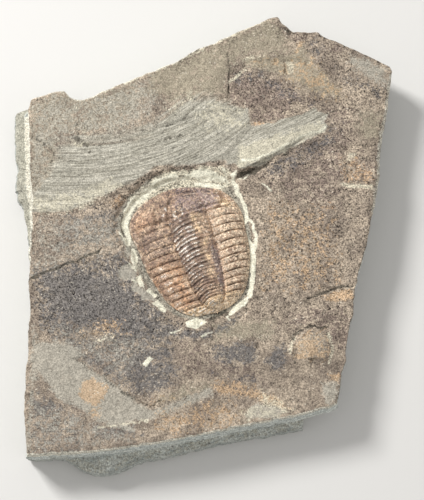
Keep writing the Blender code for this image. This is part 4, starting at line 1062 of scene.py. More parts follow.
    def _sculpt(self, item: bpy.types.Object, rings: list[tuple[float, float]]) -> None:
        """Move every point of the sheet, walls and underside to its place, and paint the tints.

        Args:
            item: The object whose mesh is a flat square sheet with straight walls.
            rings: The wall's rings, from _wall_profile.
        """
        mesh = item.data
        flat = points_of(mesh)
        across, up = self.cells
        column = np.rint((flat[:, 0] + 1.0) * 0.5 * across).astype(int)
        row = np.rint((flat[:, 1] + 1.0) * 0.5 * up).astype(int)
        ring = np.rint(-flat[:, 2] / self.ring_step).astype(int)
        u = self._clustered(across, *self.fine_across)
        v = self._clustered(up, *self.fine_up)
        rim = self._rim(u, v)
        normals = outward_normals(rim, 5)
        width, drop = self._edge_rounding(rim)
        border = rim - normals * width[:, None]
        place = self._sheet(border, u, v)[row, column]
        walls = ring > 0
        index = self._loop_index(column[walls], row[walls])
        outer, height = self._wall_points(rim, normals, width, drop, rings)
        place[walls] = outer[ring[walls] - 1, index]
        warped = place + 0.7 * np.column_stack((rugged(place, 3.4, 2, 141.0), rugged(place, 3.4, 2, 151.0)))
        tints = {tint: painted(TOP_MARKS, tint, warped) for tint in Tint}
        z = self.plane.height(place, tints)
        z[walls] = height[ring[walls] - 1, index]
        move_points(mesh, place, z)
        for tint, amount in tints.items():
            keep_amount(mesh, tint.value, amount)
        share_down = np.array([0.0] + [0.35 * edge + min(down, 1.0) for edge, down in rings])
        keep_amount(mesh, "side", ramp(0.15, 0.6, share_down[ring]))
        stroke_across, stroke_along = self.plane.stroke_places(place)
        keep_amount(mesh, "stroke_across", stroke_across)
        keep_amount(mesh, "stroke_along", stroke_along)
        local = self.seat.to_local(place)
        share = self.seat.gap(local) / self.seat.width(local)
        reach = 0.4 + 0.08 * (self.seat.width(local) - self.seat.trough_width)
        keep_amount(mesh, "trough", (1.0 - ramp(reach - 0.1, reach + 0.2, share)) * (ring == 0))
        for name, amount in self._wall_tints(rim, normals, height, rings).items():
            values = np.zeros(len(place))
            values[walls] = amount[ring[walls] - 1, index]
            keep_amount(mesh, name, values)
        mesh.update()

    def _weathered(self, rim: np.ndarray) -> np.ndarray:
        """Return where the top edge is worn back most: along the right side."""
        return ramp(6.0, 12.0, rim[:, 1]) * (1.0 - ramp(58.0, 62.0, rim[:, 1])) * (rim[:, 0] > 40.0)

    def _wall_tints(self, rim: np.ndarray, normals: np.ndarray, height: np.ndarray,
                    rings: list[tuple[float, float]]) -> dict[str, np.ndarray]:
        """Return where the side is pale: the lip under the top edge, a painted highlight along the far top
        edge, and the lower bed's ledge.

        Args:
            rim: The slab's outline.
            normals: Its outward normals.
            height: Heights of the wall's (ring, point) places.
            rings: The wall's rings, from _wall_profile.

        Returns:
            The (ring, point) amounts of each tint.
        """
        down = np.array([place for _, place in rings])[:, None]
        near, left = ramp(0.5, 0.8, -normals[:, 1]), ramp(0.5, 0.8, -normals[:, 0])
        band = along(self.lip_band, rim[:, 0])
        lip = near * (1.0 - ramp(0.7 * band, 1.2 * band, height[0] - height))
        beside_ledge = ramp(-9.0, -4.0, rim[:, 1]) * (1.0 - ramp(44.0, 47.0, rim[:, 1]))
        lip = np.maximum(lip, left * beside_ledge * (down < 2.3))
        # Painted highlight: a pale line along the far side's top edge, where the lamp catches it; the right
        # side's edge is pale from wear.
        far_edge_highlight = ramp(0.5, 0.8, normals[:, 1]) * (rim[:, 0] < 10.0)
        wear_and_highlight_edge = np.maximum(0.55 * self._weathered(rim), 0.6 * far_edge_highlight)
        lip = np.maximum(lip, wear_and_highlight_edge * (down < 0.1))
        ledge = left * ramp(2.2, 2.4, down) * (1.0 - ramp(3.3, 4.2, down))
        ledge = ledge + 0.45 * near * (down > 2.0) * (down < 3.2)
        return {"lip": lip, "ledge": np.clip(ledge, 0.0, 1.0)}

    def _loop_index(self, column: np.ndarray, row: np.ndarray) -> np.ndarray:
        """Return each border cell corner's number on the clockwise outline."""
        across, up = self.cells
        on_left, on_far = column == 0, row == up
        on_right = column == across
        index = up + across + up + (across - column)
        index = np.where(on_right, up + across + (up - row), index)
        index = np.where(on_far, up + column, index)
        index = np.where(on_left, row, index)
        return index % (2 * (across + up))

    def _sheet(self, border: np.ndarray, u: np.ndarray, v: np.ndarray) -> np.ndarray:
        """Fill the outline with an even net of points.

        Args:
            border: The outline, clockwise from the near left corner.
            u: Shares of the way across at each column.
            v: Shares of the way up at each row.

        Returns:
            An array of (row, column, xy) places.
        """
        across, up = self.cells
        left, far = border[:up + 1], border[up:up + across + 1]
        right = border[up + across:2 * up + across + 1][::-1]
        near = np.vstack((border[2 * up + across:], border[:1]))[::-1]
        u, v = u[None, :, None], v[:, None, None]
        corners = ((1 - u) * (1 - v) * near[0] + u * (1 - v) * near[-1]
                   + (1 - u) * v * far[0] + u * v * far[-1])
        return (1 - v) * near[None] + v * far[None] + (1 - u) * left[:, None] + u * right[:, None] - corners

    def _edge_rounding(self, rim: np.ndarray) -> tuple[np.ndarray, np.ndarray]:
        """Return how wide and how deep the top edge is broken at each point of the outline."""
        weathered = self._weathered(rim)
        uneven = 1.0 + 0.45 * ripple(rim, 4.0, 83.0) + 0.25 * ripple(rim, 1.5, 89.0)
        width = self.edge_width + (self.weathered_width - self.edge_width) * weathered
        drop = self.edge_drop + (self.weathered_drop - self.edge_drop) * weathered
        return width * uneven, drop * uneven

    def _reach(self, rim: np.ndarray, normals: np.ndarray) -> np.ndarray:
        """Return how far the lower bed stands out past each point of the outline."""
        faces_left, faces_near = ramp(0.5, 0.8, -normals[:, 0]), ramp(0.5, 0.8, -normals[:, 1])
        reach = np.full(len(rim), self.hidden_reach)
        reach += (along(self.left_reach, rim[:, 1]) - self.hidden_reach) * faces_left
        return reach + (along(self.near_reach, rim[:, 0]) - reach) * faces_near

    def _wall_points(self, rim: np.ndarray, normals: np.ndarray, width: np.ndarray, drop: np.ndarray,
                     rings: list[tuple[float, float]]) -> tuple[np.ndarray, np.ndarray]:
        """Return the places and heights of the wall's rings.

        Args:
            rim: The slab's outline.
            normals: Its outward normals.
            width: Width of the broken top edge.
            drop: Depth of the broken top edge.
            rings: The wall's rings, from _wall_profile.

        Returns:
            An array of (ring, point, xy) places and one of (ring, point) heights.
        """
        slope = np.where(normals[:, 1] < -0.6, self.near_slope, self.side_slope)
        slope = np.where((rim[:, 0] > 56.0) | (rim[:, 1] > 48.0), 0.0, slope)
        reach = self._reach(rim, normals)
        top = self.plane.ground(rim)
        zero = np.zeros(len(rim))
        offsets = np.array((zero, 0.6 * slope, slope, 0.85 * reach, reach - 0.25, reach,
                            reach - 0.5 * self.foot_undercut, reach - self.foot_undercut))
        heights = np.array([top - drop, *(zero + level for level in self.wall_levels)])
        run = run_length(rim)
        places, levels = [], []
        for edge, down in rings:
            first = min(int(down), 6)
            share = down - first
            offset = offsets[first] * (1 - share) + offsets[first + 1] * share
            level = heights[first] * (1 - share) + heights[first + 1] * share
            offset = offset - width * (1.0 - math.sin(0.5 * math.pi * edge))
            level = level + drop * math.cos(0.5 * math.pi * edge)
            offset = offset - self._wall_roughness(run, level, down)
            places.append(np.clip(rim + normals * offset[:, None], self.lowest, self.highest))
            levels.append(level)
        return np.array(places), np.array(levels)

    def _wall_roughness(self, run: np.ndarray, level: np.ndarray, down: float) -> np.ndarray:
        """Return how far the wall is broken back at each point of a ring.

        Args:
            run: Distance along the outline.
            level: Height of the ring's points.
            down: Place of the ring on the wall, from _wall_profile.

        Returns:
            One depth for each point.
        """
        sheet = np.column_stack((run, 2.0 * level))
        layers = np.column_stack((run / 9.0, 2.6 * level))
        fine = 0.16 * (0.6 + ripple(layers, 1.0, 91.0)) + 0.14 * (0.6 + ripple(sheet, 2.0, 93.0))
        coarse = 0.42 * (0.3 + ripple(sheet, 5.0, 95.0)) + 0.30 * (0.3 + ripple(sheet, 1.6, 97.0))
        lower = float(ramp(1.9, 3.0, down)) * (1.0 - 0.6 * float(ramp(6.0, 7.0, down)))
        return (fine * (1.0 - lower) + coarse * lower) * float(ramp(0.0, 0.4, down + 0.05))


# The fossil's form


@dataclass
class Margin:
    """One half of the fossil's outline, read by station from head to tail."""

    points: tuple[Place, ...]
    head_end: Place
    thorax_end: Place
    curve: np.ndarray = field(init=False)
    run: np.ndarray = field(init=False)

    def __post_init__(self) -> None:
        """Measure the margin's length."""
        self.curve = smooth_curve(self.points, 12)
        run = run_length(self.curve)
        self.run = run / run[-1]

    def share_at(self, point: Place) -> float:
        """Return how far along the margin a point lies."""
        return float(self.run[np.linalg.norm(self.curve - np.array(point), axis=1).argmin()])

    def place(self, station: np.ndarray) -> tuple[np.ndarray, np.ndarray]:
        """Return the margin's x and y at each station."""
        marks = (0.0, self.share_at(self.head_end), self.share_at(self.thorax_end), 1.0)
        share = np.interp(station, (0.0, 1.0, 2.0, 3.0), marks)
        return np.interp(share, self.run, self.curve[:, 0]), np.interp(share, self.run, self.curve[:, 1])


@dataclass
class Shield:
    """The fossil's surface. A station runs from 0 at the head's front over 1 at the first segment and 2
    at the tail shield to 3 at the tail's end, and a share from -1 at the left margin to 1 at the right."""

    seat: FossilSeat
    head_front_y: float = 23.0
    thorax_front_y: float = 12.2
    thorax_back_y: float = -16.8
    tail_y: float = -22.0
    segments: int = 11
    first_to_last_pitch: float = 1.5
    tail_ribs: int = 5
    axis_share: float = 0.365
    arch_right: float = 0.3
    arch_left: float = 1.8
    dome_height: float = 3.0
    dome_reach: float = 8.5
    rim_height: float = 0.35
    axis_rise: float = 1.35
    furrow_depth: float = 0.45
    glabella: tuple[Place, ...] = ((12.9, 6.9), (16.5, 6.0), (21.0, 5.2))
    glabella_shoulder_y: float = 15.0
    glabella_front_y: float = 20.4
    lobe_ys: tuple[float, ...] = (18.3, 16.4, 14.7)
    head_border: float = 1.8
    neck_station: float = 0.87
    eye: Place = (10.6, 15.6)
    eye_radii: Place = (1.3, 2.1)
    ridge_phases: Place = (0.33, 0.77)
    right: Margin = field(init=False)
    left: Margin = field(init=False)

    def __post_init__(self) -> None:
        """Make the two halves of the margin."""
        self.right = Margin(self.seat.right_margin, (17.3, 10.6), (11.2, -17.0))
        self.left = Margin(self.seat.left_margin, (-20.3, 8.6), (-11.4, -18.8))

    @property
    def taper(self) -> float:
        """The share by which the first segment is longer than the mean, and the last shorter."""
        return (self.first_to_last_pitch - 1.0) / (self.first_to_last_pitch + 1.0)

    def _past_axis(self, share: np.ndarray) -> np.ndarray:
        """Return how far out from the axis each point lies: 0 on it and 1 at the margin."""
        return np.clip((np.abs(share) - self.axis_share) / (1.0 - self.axis_share), 0.0, 1.0)

    def midline(self, station: np.ndarray) -> np.ndarray:
        """Return the y of the midline at each station, with segments that get shorter tailwards."""
        share = np.clip(station - 1.0, 0.0, 1.0)
        eased = share * (1.0 + self.taper) - self.taper * share * share
        y = self.head_front_y + (self.thorax_front_y - self.head_front_y) * np.clip(station, 0.0, 1.0)
        y += (self.thorax_back_y - self.thorax_front_y) * eased
        return y + (self.tail_y - self.thorax_back_y) * np.clip(station - 2.0, 0.0, 1.0)

    def place(self, station: np.ndarray, share: np.ndarray) -> np.ndarray:
        """Return places of the shield in the fossil's frame.

        Args:
            station: Station of each point.
            share: Share of each point.

        Returns:
            One (x, y) row for each point.
        """
        across, is_left = np.abs(share), share < 0
        right_x, right_y = self.right.place(station)
        left_x, left_y = self.left.place(station)
        tip_x, tip_y = np.where(is_left, left_x, right_x), np.where(is_left, left_y, right_y)
        arch = np.where(is_left, self.arch_left, self.arch_right)
        arch = arch * ramp(0.6, 1.1, station) * (1.0 - 0.6 * ramp(1.9, 2.6, station))
        sweep = 1.2 + 2.3 * ramp(0.7, 1.15, station) - 1.8 * ramp(1.8, 2.3, station)
        inner = self.midline(station) - arch * np.minimum(across / self.axis_share, 1.0) ** 2
        y = inner + (tip_y - inner) * across**sweep
        bow = np.where(is_left, 0.15, 0.5) * np.sin(math.pi * self._past_axis(share))
        y += bow * ramp(0.8, 1.0, station) * (1.0 - ramp(2.0, 2.2, station))
        return np.column_stack((tip_x * across, y))

    def segment(self, station: np.ndarray) -> tuple[np.ndarray, np.ndarray]:
        """Return the phase within a segment or tail rib, and the segment's length."""
        share = np.clip(station - 1.0, 0.0, 1.0)
        tail = np.clip(station - 2.0, 0.0, 1.0) * self.tail_ribs
        phase = np.where(station < 2.0, share * self.segments % 1.0, tail % 1.0)
        mean = (self.thorax_front_y - self.thorax_back_y) / self.segments
        pitch = mean * (1.0 + self.taper - 2.0 * self.taper * share)
        return phase, np.where(station < 2.0, pitch, (self.thorax_back_y - self.tail_y) / self.tail_ribs)

    def grooves(self, place: np.ndarray, station: np.ndarray, share: np.ndarray) -> np.ndarray:
        """Return how deep in a furrow each point is, between 0 and 1.

        Args:
            place: Place of each point in the fossil's frame.
            station: Station of each point.
            share: Share of each point.

        Returns:
            One amount for each point.
        """
        across = np.abs(share)
        phase, pitch = self.segment(station)
        to_joint = pitch * np.minimum(phase, 1.0 - phase)
        body = ramp(0.985, 1.0, station) * (1.0 - 0.65 * ramp(1.95, 2.1, station))
        body *= 1.0 - ramp(2.7, 2.95, station)
        is_left = share < 0
        joint = bell(to_joint, np.where(is_left, 0.56, 0.26)) * body * self._open(place, station, share)
        joint *= 1.0 - 0.25 * is_left * (across > self.axis_share)
        axial = bell(across - self.axis_share, 0.022) * (1.0 - ramp(2.3, 2.7, station))
        axial *= ramp(0.8, 1.0, station)
        neck = bell(station - self.neck_station, 0.018) * (across < 0.95)
        neck *= ramp(-0.3, 0.4, ripple(place, 2.0, 119.0))
        return np.maximum(joint, np.maximum(np.where(is_left, 0.55, 0.25) * axial, 0.45 * neck))

    def _open(self, place: np.ndarray, station: np.ndarray, share: np.ndarray) -> np.ndarray:
        """Return how open the joint between two segments is at each point: worn shut in places."""
        out = self._past_axis(share)
        broken = 0.35 + 0.65 * ramp(-0.25, 0.2, ripple(place, 1.7, 117.0))
        right = ramp(0.02, 0.3, out) * (1.0 - 0.5 * ramp(0.85, 1.0, out))
        left = (0.35 + 0.65 * ramp(1.15, 1.4, station)) * (1.0 - 0.9 * ramp(0.55, 0.8, out))
        left *= ramp(-0.05, 0.2, out)
        axis = 0.9 - 0.65 * ramp(0.5, 3.0, place[:, 0])
        return broken * np.where(out <= 0.0, axis, np.where(share < 0, left, right))

    def _ribs(self, place: np.ndarray, station: np.ndarray, share: np.ndarray) -> np.ndarray:
        """Return the height of the segments: broad bands at the sides, double ridges on the axis."""
        across = np.abs(share)
        phase, pitch = self.segment(station)
        to_joint = pitch * np.minimum(phase, 1.0 - phase)
        band = 0.42 * (1.0 - np.abs(2.0 * phase - 1.0) ** 3) + 0.16 * (phase - 0.5)
        out = self._past_axis(share)
        band -= 0.11 * bell(phase - 0.34 - 0.28 * out, 0.08) * (1.0 - ramp(0.7, 0.95, out))
        opened = self._open(place, station, share)
        band -= np.where(share < 0, 0.16, 0.28) * bell(to_joint, np.where(share < 0, 0.38, 0.22)) * opened
        front, back = self.ridge_phases
        rings = 0.34 * (bell(phase - front, 0.13) + bell(phase - back, 0.11))
        rings = rings * (1.0 - 0.6 * ramp(0.5, 3.0, place[:, 0])) - 0.22 * bell(to_joint, 0.25) * opened
        on_axis = 1.0 - ramp(self.axis_share - 0.03, self.axis_share + 0.02, across)
        on_axis = on_axis * (1.0 - ramp(2.4, 2.7, station))
        ribs = band * (1.0 - on_axis) + rings * on_axis
        ribs *= ramp(0.97, 1.0, station) * (1.0 - 0.45 * ramp(0.85, 1.0, across))
        return ribs * (1.0 - 0.35 * ramp(2.0, 2.1, station)) * (1.0 - ramp(2.65, 2.95, station))

    def _axis(self, place: np.ndarray, station: np.ndarray, share: np.ndarray) -> np.ndarray:
        """Return the height of the raised middle: the glabella in the head, then the axis."""
        across = np.abs(share) / self.axis_share
        ends = 1.0 - ramp(2.3, 2.7, station)
        groove = bell(np.abs(share) - self.axis_share, 0.032)
        axis = ends * (self.axis_rise * (1.0 - np.minimum(across, 1.0) ** 2.4) - self.furrow_depth * groove)
        forward = np.clip(place[:, 1] - self.glabella_shoulder_y, 0.0, None)
        forward = forward / (self.glabella_front_y - self.glabella_shoulder_y)
        half = along(self.glabella, place[:, 1])
        sideways = np.abs(place[:, 0]) / half
        from_middle = (forward**3 + sideways**3) ** (1 / 3)
        glabella = self.axis_rise * (1.0 - np.minimum(from_middle, 1.0) ** 2.4)
        glabella -= self.furrow_depth * bell(from_middle - 1.0, 0.11)
        for y in self.lobe_ys:
            back = y - 0.45 * (half - np.abs(place[:, 0]))
            lobe = bell(place[:, 1] - back, 0.3) * ramp(0.4, 0.75, sideways) * (sideways < 1.05)
            glabella -= np.where(place[:, 0] < 0, 0.34, 0.14) * lobe
        return glabella + (axis - glabella) * ramp(0.84, 0.98, station)

    def _head(self, place: np.ndarray, station: np.ndarray, share: np.ndarray,
              to_margin: np.ndarray) -> np.ndarray:
        """Return the head's cheeks, eye ridges, border and furrows, and its crushed surface."""
        across = np.abs(share)
        in_head = 1.0 - ramp(0.95, 1.0, station)
        cheek = 0.7 * ramp(0.15, 0.6, station) * bell(across - 0.66, 0.16) * (1.0 - ramp(0.75, 1.0, station))
        border = -0.45 * bell(to_margin - self.head_border, 0.7)
        neck = -0.4 * bell(station - self.neck_station, 0.03) + 0.25 * bell(station - 0.94, 0.035)
        eye_gap = np.hypot((np.abs(place[:, 0]) - self.eye[0]) / self.eye_radii[0],
                           (place[:, 1] - self.eye[1]) / self.eye_radii[1])
        eye = 0.4 * bell(eye_gap - 1.0, 0.28) * (np.abs(place[:, 0]) > 9.8)
        crush = 0.22 * ripple(place, 2.0, 101.0) + 0.15 * ripple(place, 0.9, 103.0)
        crush *= ramp(-9.0, -4.0, place[:, 0]) * ramp(0.1, 0.3, station)
        return (cheek + border + neck + eye + crush) * in_head

    def height(self, place: np.ndarray, station: np.ndarray, share: np.ndarray) -> np.ndarray:
        """Return the height of the shield above its seat.

        Args:
            place: Place of each point in the fossil's frame.
            station: Station of each point.
            share: Share of each point.

        Returns:
            One height for each point.
        """
        to_margin = np.clip(-self.seat.gap(place), 0.0, None)
        to_crown = 1.0 - np.minimum(to_margin / self.dome_reach, 1.0)
        height = self.rim_height + self.dome_height * (1.0 - to_crown**2.3)
        height += self._axis(place, station, share)
        fade = ramp(0.0, 1.3, to_margin)
        height += (self._ribs(place, station, share) + self._head(place, station, share, to_margin)) * fade
        worn = 0.09 * rugged(place, 1.2, 2, 107.0) + 0.05 * ripple(place, 0.42, 109.0)
        flaked = -0.12 * ramp(0.2, 0.3, rugged(place, 3.5, 3, 113.0))
        return height + (worn + flaked) * ramp(0.0, 0.8, to_margin)

    def tints(self, place: np.ndarray, station: np.ndarray, share: np.ndarray) -> dict[ShellTint, np.ndarray]:
        """Return the amount of each shell colour, including the painted highlights, shade and light.

        Args:
            place: Place of each point in the fossil's frame.
            station: Station of each point.
            share: Share of each point.

        Returns:
            One array for each tint.
        """
        warp = np.column_stack((rugged(place, 2.6, 3, 121.0), rugged(place, 2.6, 3, 123.0)))
        x, y = (place + 1.5 * warp).T
        phase, _ = self.segment(station)
        on_axis = 1.0 - ramp(-0.4, 0.4, np.abs(place[:, 0]) - self._axis_half(station, share))
        on_axis *= 1.0 - ramp(2.2, 2.5, station)
        body = ramp(0.85, 1.0, station)
        # Painted highlights: silvery glints on the axis rings, beads at the fulcrum, the tail ribs and a spot
        # on the head.
        front_ridge, back_ridge = self.ridge_phases
        ridges = np.maximum(bell(phase - front_ridge, 0.11), bell(phase - back_ridge, 0.10))
        patchy = ramp(-0.15, 0.3, ripple(place, 2.6, 127.0))
        left_axis = on_axis * (1.0 - ramp(-1.0, 2.0, x))
        silver = ramp(1.02, 1.12, station) * (1.0 - 0.75 * ramp(1.45, 1.75, station))
        silver *= 1.0 - ramp(1.9, 2.1, station)
        painted_highlight = body * ridges * left_axis * silver * (0.25 + 0.75 * patchy)
        fulcrum = place[:, 0] + 14.6 - 0.15 * np.clip(-y, 0.0, 20.0)
        beads = bell(fulcrum, 1.1) * ramp(1.3, 1.45, station) * bell(phase - 0.5, 0.26) * (share < 0)
        painted_highlight = np.maximum(painted_highlight, 0.9 * beads * (0.45 + 0.55 * patchy))
        tail_ribs = bell(phase - 0.5, 0.2) * ramp(1.95, 2.1, station) * (1.0 - ramp(2.6, 2.9, station))
        painted_highlight = np.maximum(painted_highlight, 0.85 * tail_ribs * (x < 1.0) * (0.4 + 0.6 * patchy))
        head_silver = spot(x, y, (-5.2, 14.2), (3.0, 3.2)) * ramp(0.05, 0.3, ripple(place, 1.3, 129.0))
        painted_highlight = np.maximum(painted_highlight, 0.6 * head_silver)
        in_front = 1.0 - ramp(1.85, 2.1, station)
        outside = ramp(0.3, 2.0, -fulcrum) * (share < 0) * body * in_front
        dark_and_shade = np.clip(0.95 * left_axis + 0.35 * on_axis * (x > 0), 0.0, 1.0) * body * in_front
        dark_and_shade *= 1.0 - 0.35 * ramp(1.6, 1.9, station)
        # Partly painted shade: the dark spot over the left cheek is widened to darken where the lamp lights
        # the cheek.
        cheek = spot(x, y, (-15.0, 7.5), (7.5, 5.5))
        inner = bell(x + 8.2, 2.4) * bell(y - 8.0, 5.5)
        head_left = spot(x, y, (-4.0, 13.6), (3.4, 3.2))
        brow = spot(x, y, (-7.0, 18.5), (5.0, 4.0))
        front = ramp(17.0, 20.5, y) * (x < 11.0)
        first_ribs = spot(x, y, (-12.0, 3.0), (7.0, 4.0))
        to_margin = -self.seat.gap(place)
        # Painted shade along the left margin of the head and the front segments.
        rim = (1.0 - ramp(1.0, 3.5, to_margin)) * (share < 0) * (1.0 - ramp(1.2, 1.5, station))
        temple = spot(x, y, (-14.5, 14.0), (5.0, 4.5))
        dark_and_shade = np.maximum.reduce((dark_and_shade, 0.8 * cheek, 0.75 * inner, 0.85 * head_left, 0.5 * outside,
                                  0.62 * brow, 0.62 * front, 0.75 * first_ribs, 0.6 * rim, 0.52 * temple))
        violet = on_axis * body * ramp(2.4, 4.6, x) * ramp(1.25, 1.5, station)
        glabella = ramp(-4.5, -1.5, x) * (1.0 - ramp(9.0, 12.0, x)) * ramp(11.5, 13.5, y)
        violet = np.maximum(violet, 0.85 * glabella)
        mid_axis = on_axis * body * bell(x - 1.6, 2.2) * (1.0 - ramp(1.5, 1.9, station))
        # Painted light: the whole tail is laid over with pale gold where it slopes away from the lamp; the
        # other terms are ochre spots on the axis and right side.
        gold_and_light = np.maximum.reduce((
            ramp(1.9, 2.15, station), spot(x, y, (13.3, 12.6), (1.9, 1.5)), mid_axis * (0.3 + 0.7 * patchy),
            0.55 * ramp(7.0, 9.0, x) * (0.6 + 0.4 * patchy) * body))
        left_ribs = (share < 0) * ramp(-5.0, -9.0, x) * ramp(1.1, 1.5, station)
        rust = np.maximum.reduce((
            left_ribs * (0.35 + 0.5 * patchy), 0.9 * spot(x, y, (0.2, 15.8), (1.8, 1.2)),
            0.9 * spot(x, y, (-15.5, 14.5), (4.5, 3.4))))
        edge_chalk = (1.0 - ramp(0.1, 0.8, to_margin)) * ramp(0.0, 0.3, ripple(place, 1.6, 131.0))
        flecks = ramp(0.28, 0.45, ripple(place, 0.9, 133.0)) * ramp(0.0, 4.0, x)
        # Paler right side, and painted light over the tail.
        right_pale_and_tail_light = 0.5 * ramp(6.0, 8.0, x) * body + 0.7 * ramp(2.0, 2.3, station)
        return {
            ShellTint.FURROW: self.grooves(place, station, share),
            ShellTint.PAINTED_HIGHLIGHT: painted_highlight,
            ShellTint.DARK_AND_SHADE: dark_and_shade,
            ShellTint.VIOLET: violet,
            ShellTint.GOLD_AND_LIGHT: gold_and_light,
            ShellTint.RUST: rust,
            ShellTint.CHALK_AND_LIGHT: np.maximum.reduce((0.8 * edge_chalk, 0.7 * flecks, right_pale_and_tail_light)),
        }

    def _axis_half(self, station: np.ndarray, share: np.ndarray) -> np.ndarray:
        """Return the axis's half width beside each point."""
        tip = np.where(share < 0, -self.left.place(station)[0], self.right.place(station)[0])
        return self.axis_share * tip


@dataclass
class FossilPiece:
    """The fossil, modelled as one closed mesh: a fine sheet for the shield, and a skirt and base that
    are buried in the stone."""

    seat: FossilSeat
    name: str = "trilobite_shield"
    columns: int = 220
    head_rows: int = 84
    rows_per_segment: int = 20
    tail_rows: int = 42
    skirt_depth: float = 0.35
    crease_angle: float = math.radians(60.0)
    weld_distance: float = 1e-7
    shield: Shield = field(init=False)

    def __post_init__(self) -> None:
        """Make the surface that the sheet follows."""
        self.shield = Shield(self.seat)

    def build(self) -> bpy.types.Object:
        """Model the fossil.

        Returns:
            The finished object, with an amount of each tint on its points.
        """
        thorax_rows = self.shield.segments * self.rows_per_segment
        rows = self.head_rows + thorax_rows + self.tail_rows
        item = new_sheet(self.name, self.columns, rows)
        draw_down(1.0)
        bpy.ops.object.mode_set(mode="OBJECT")
        self._sculpt(item, rows)
        bpy.ops.object.mode_set(mode="EDIT")
        bpy.ops.mesh.select_all(action="SELECT")
        bpy.ops.mesh.remove_doubles(threshold=self.weld_distance)
        bpy.ops.mesh.select_all(action="DESELECT")
        bpy.ops.mesh.select_non_manifold(extend=False)
        bpy.ops.mesh.edge_face_add()
        bpy.ops.mesh.select_all(action="SELECT")
        bpy.ops.mesh.normals_make_consistent(inside=False)
        bpy.ops.object.mode_set(mode="OBJECT")
        bpy.ops.object.shade_smooth_by_angle(angle=self.crease_angle)
        return item

    def _stations(self, rows: int) -> np.ndarray:
        """Return the station of each row, from the tail's end to the head's front."""
        thorax_rows = self.shield.segments * self.rows_per_segment
        marks = (0, self.head_rows, self.head_rows + thorax_rows, rows)
        return np.interp(np.arange(rows + 1), marks, (0.0, 1.0, 2.0, 3.0))[::-1]

    def _sculpt(self, item: bpy.types.Object, rows: int) -> None:
        """Move every point of the sheet and its skirt to its place, and paint the tints.

        Args:
            item: The object whose mesh is a flat square sheet with a straight skirt.
            rows: Number of rows of faces.
        """
        mesh = item.data
        flat = points_of(mesh)
        share = flat[:, 0]
        station = self._stations(rows)[np.rint((flat[:, 1] + 1.0) * 0.5 * rows).astype(int)]
        place = self.shield.place(station, share)
        height = self.shield.height(place, station, share)
        height = np.where(flat[:, 2] < -0.5, -self.skirt_depth, height)
        move_points(mesh, self.seat.to_slab(place), self.seat.floor(place) + height)
        for tint, amount in self.shield.tints(place, station, share).items():
            keep_amount(mesh, tint.value, amount)
        mesh.update()


# Finishes


def rgb(red: float, green: float, blue: float) -> Color:
    """Turn display values from 0 to 255 into the linear colour that a shader takes."""
    values = [v / 255.0 for v in (red, green, blue)]
    linear = [v / 12.92 if v <= 0.04045 else ((v + 0.055) / 1.055) ** 2.4 for v in values]
    return (*linear, 1.0)


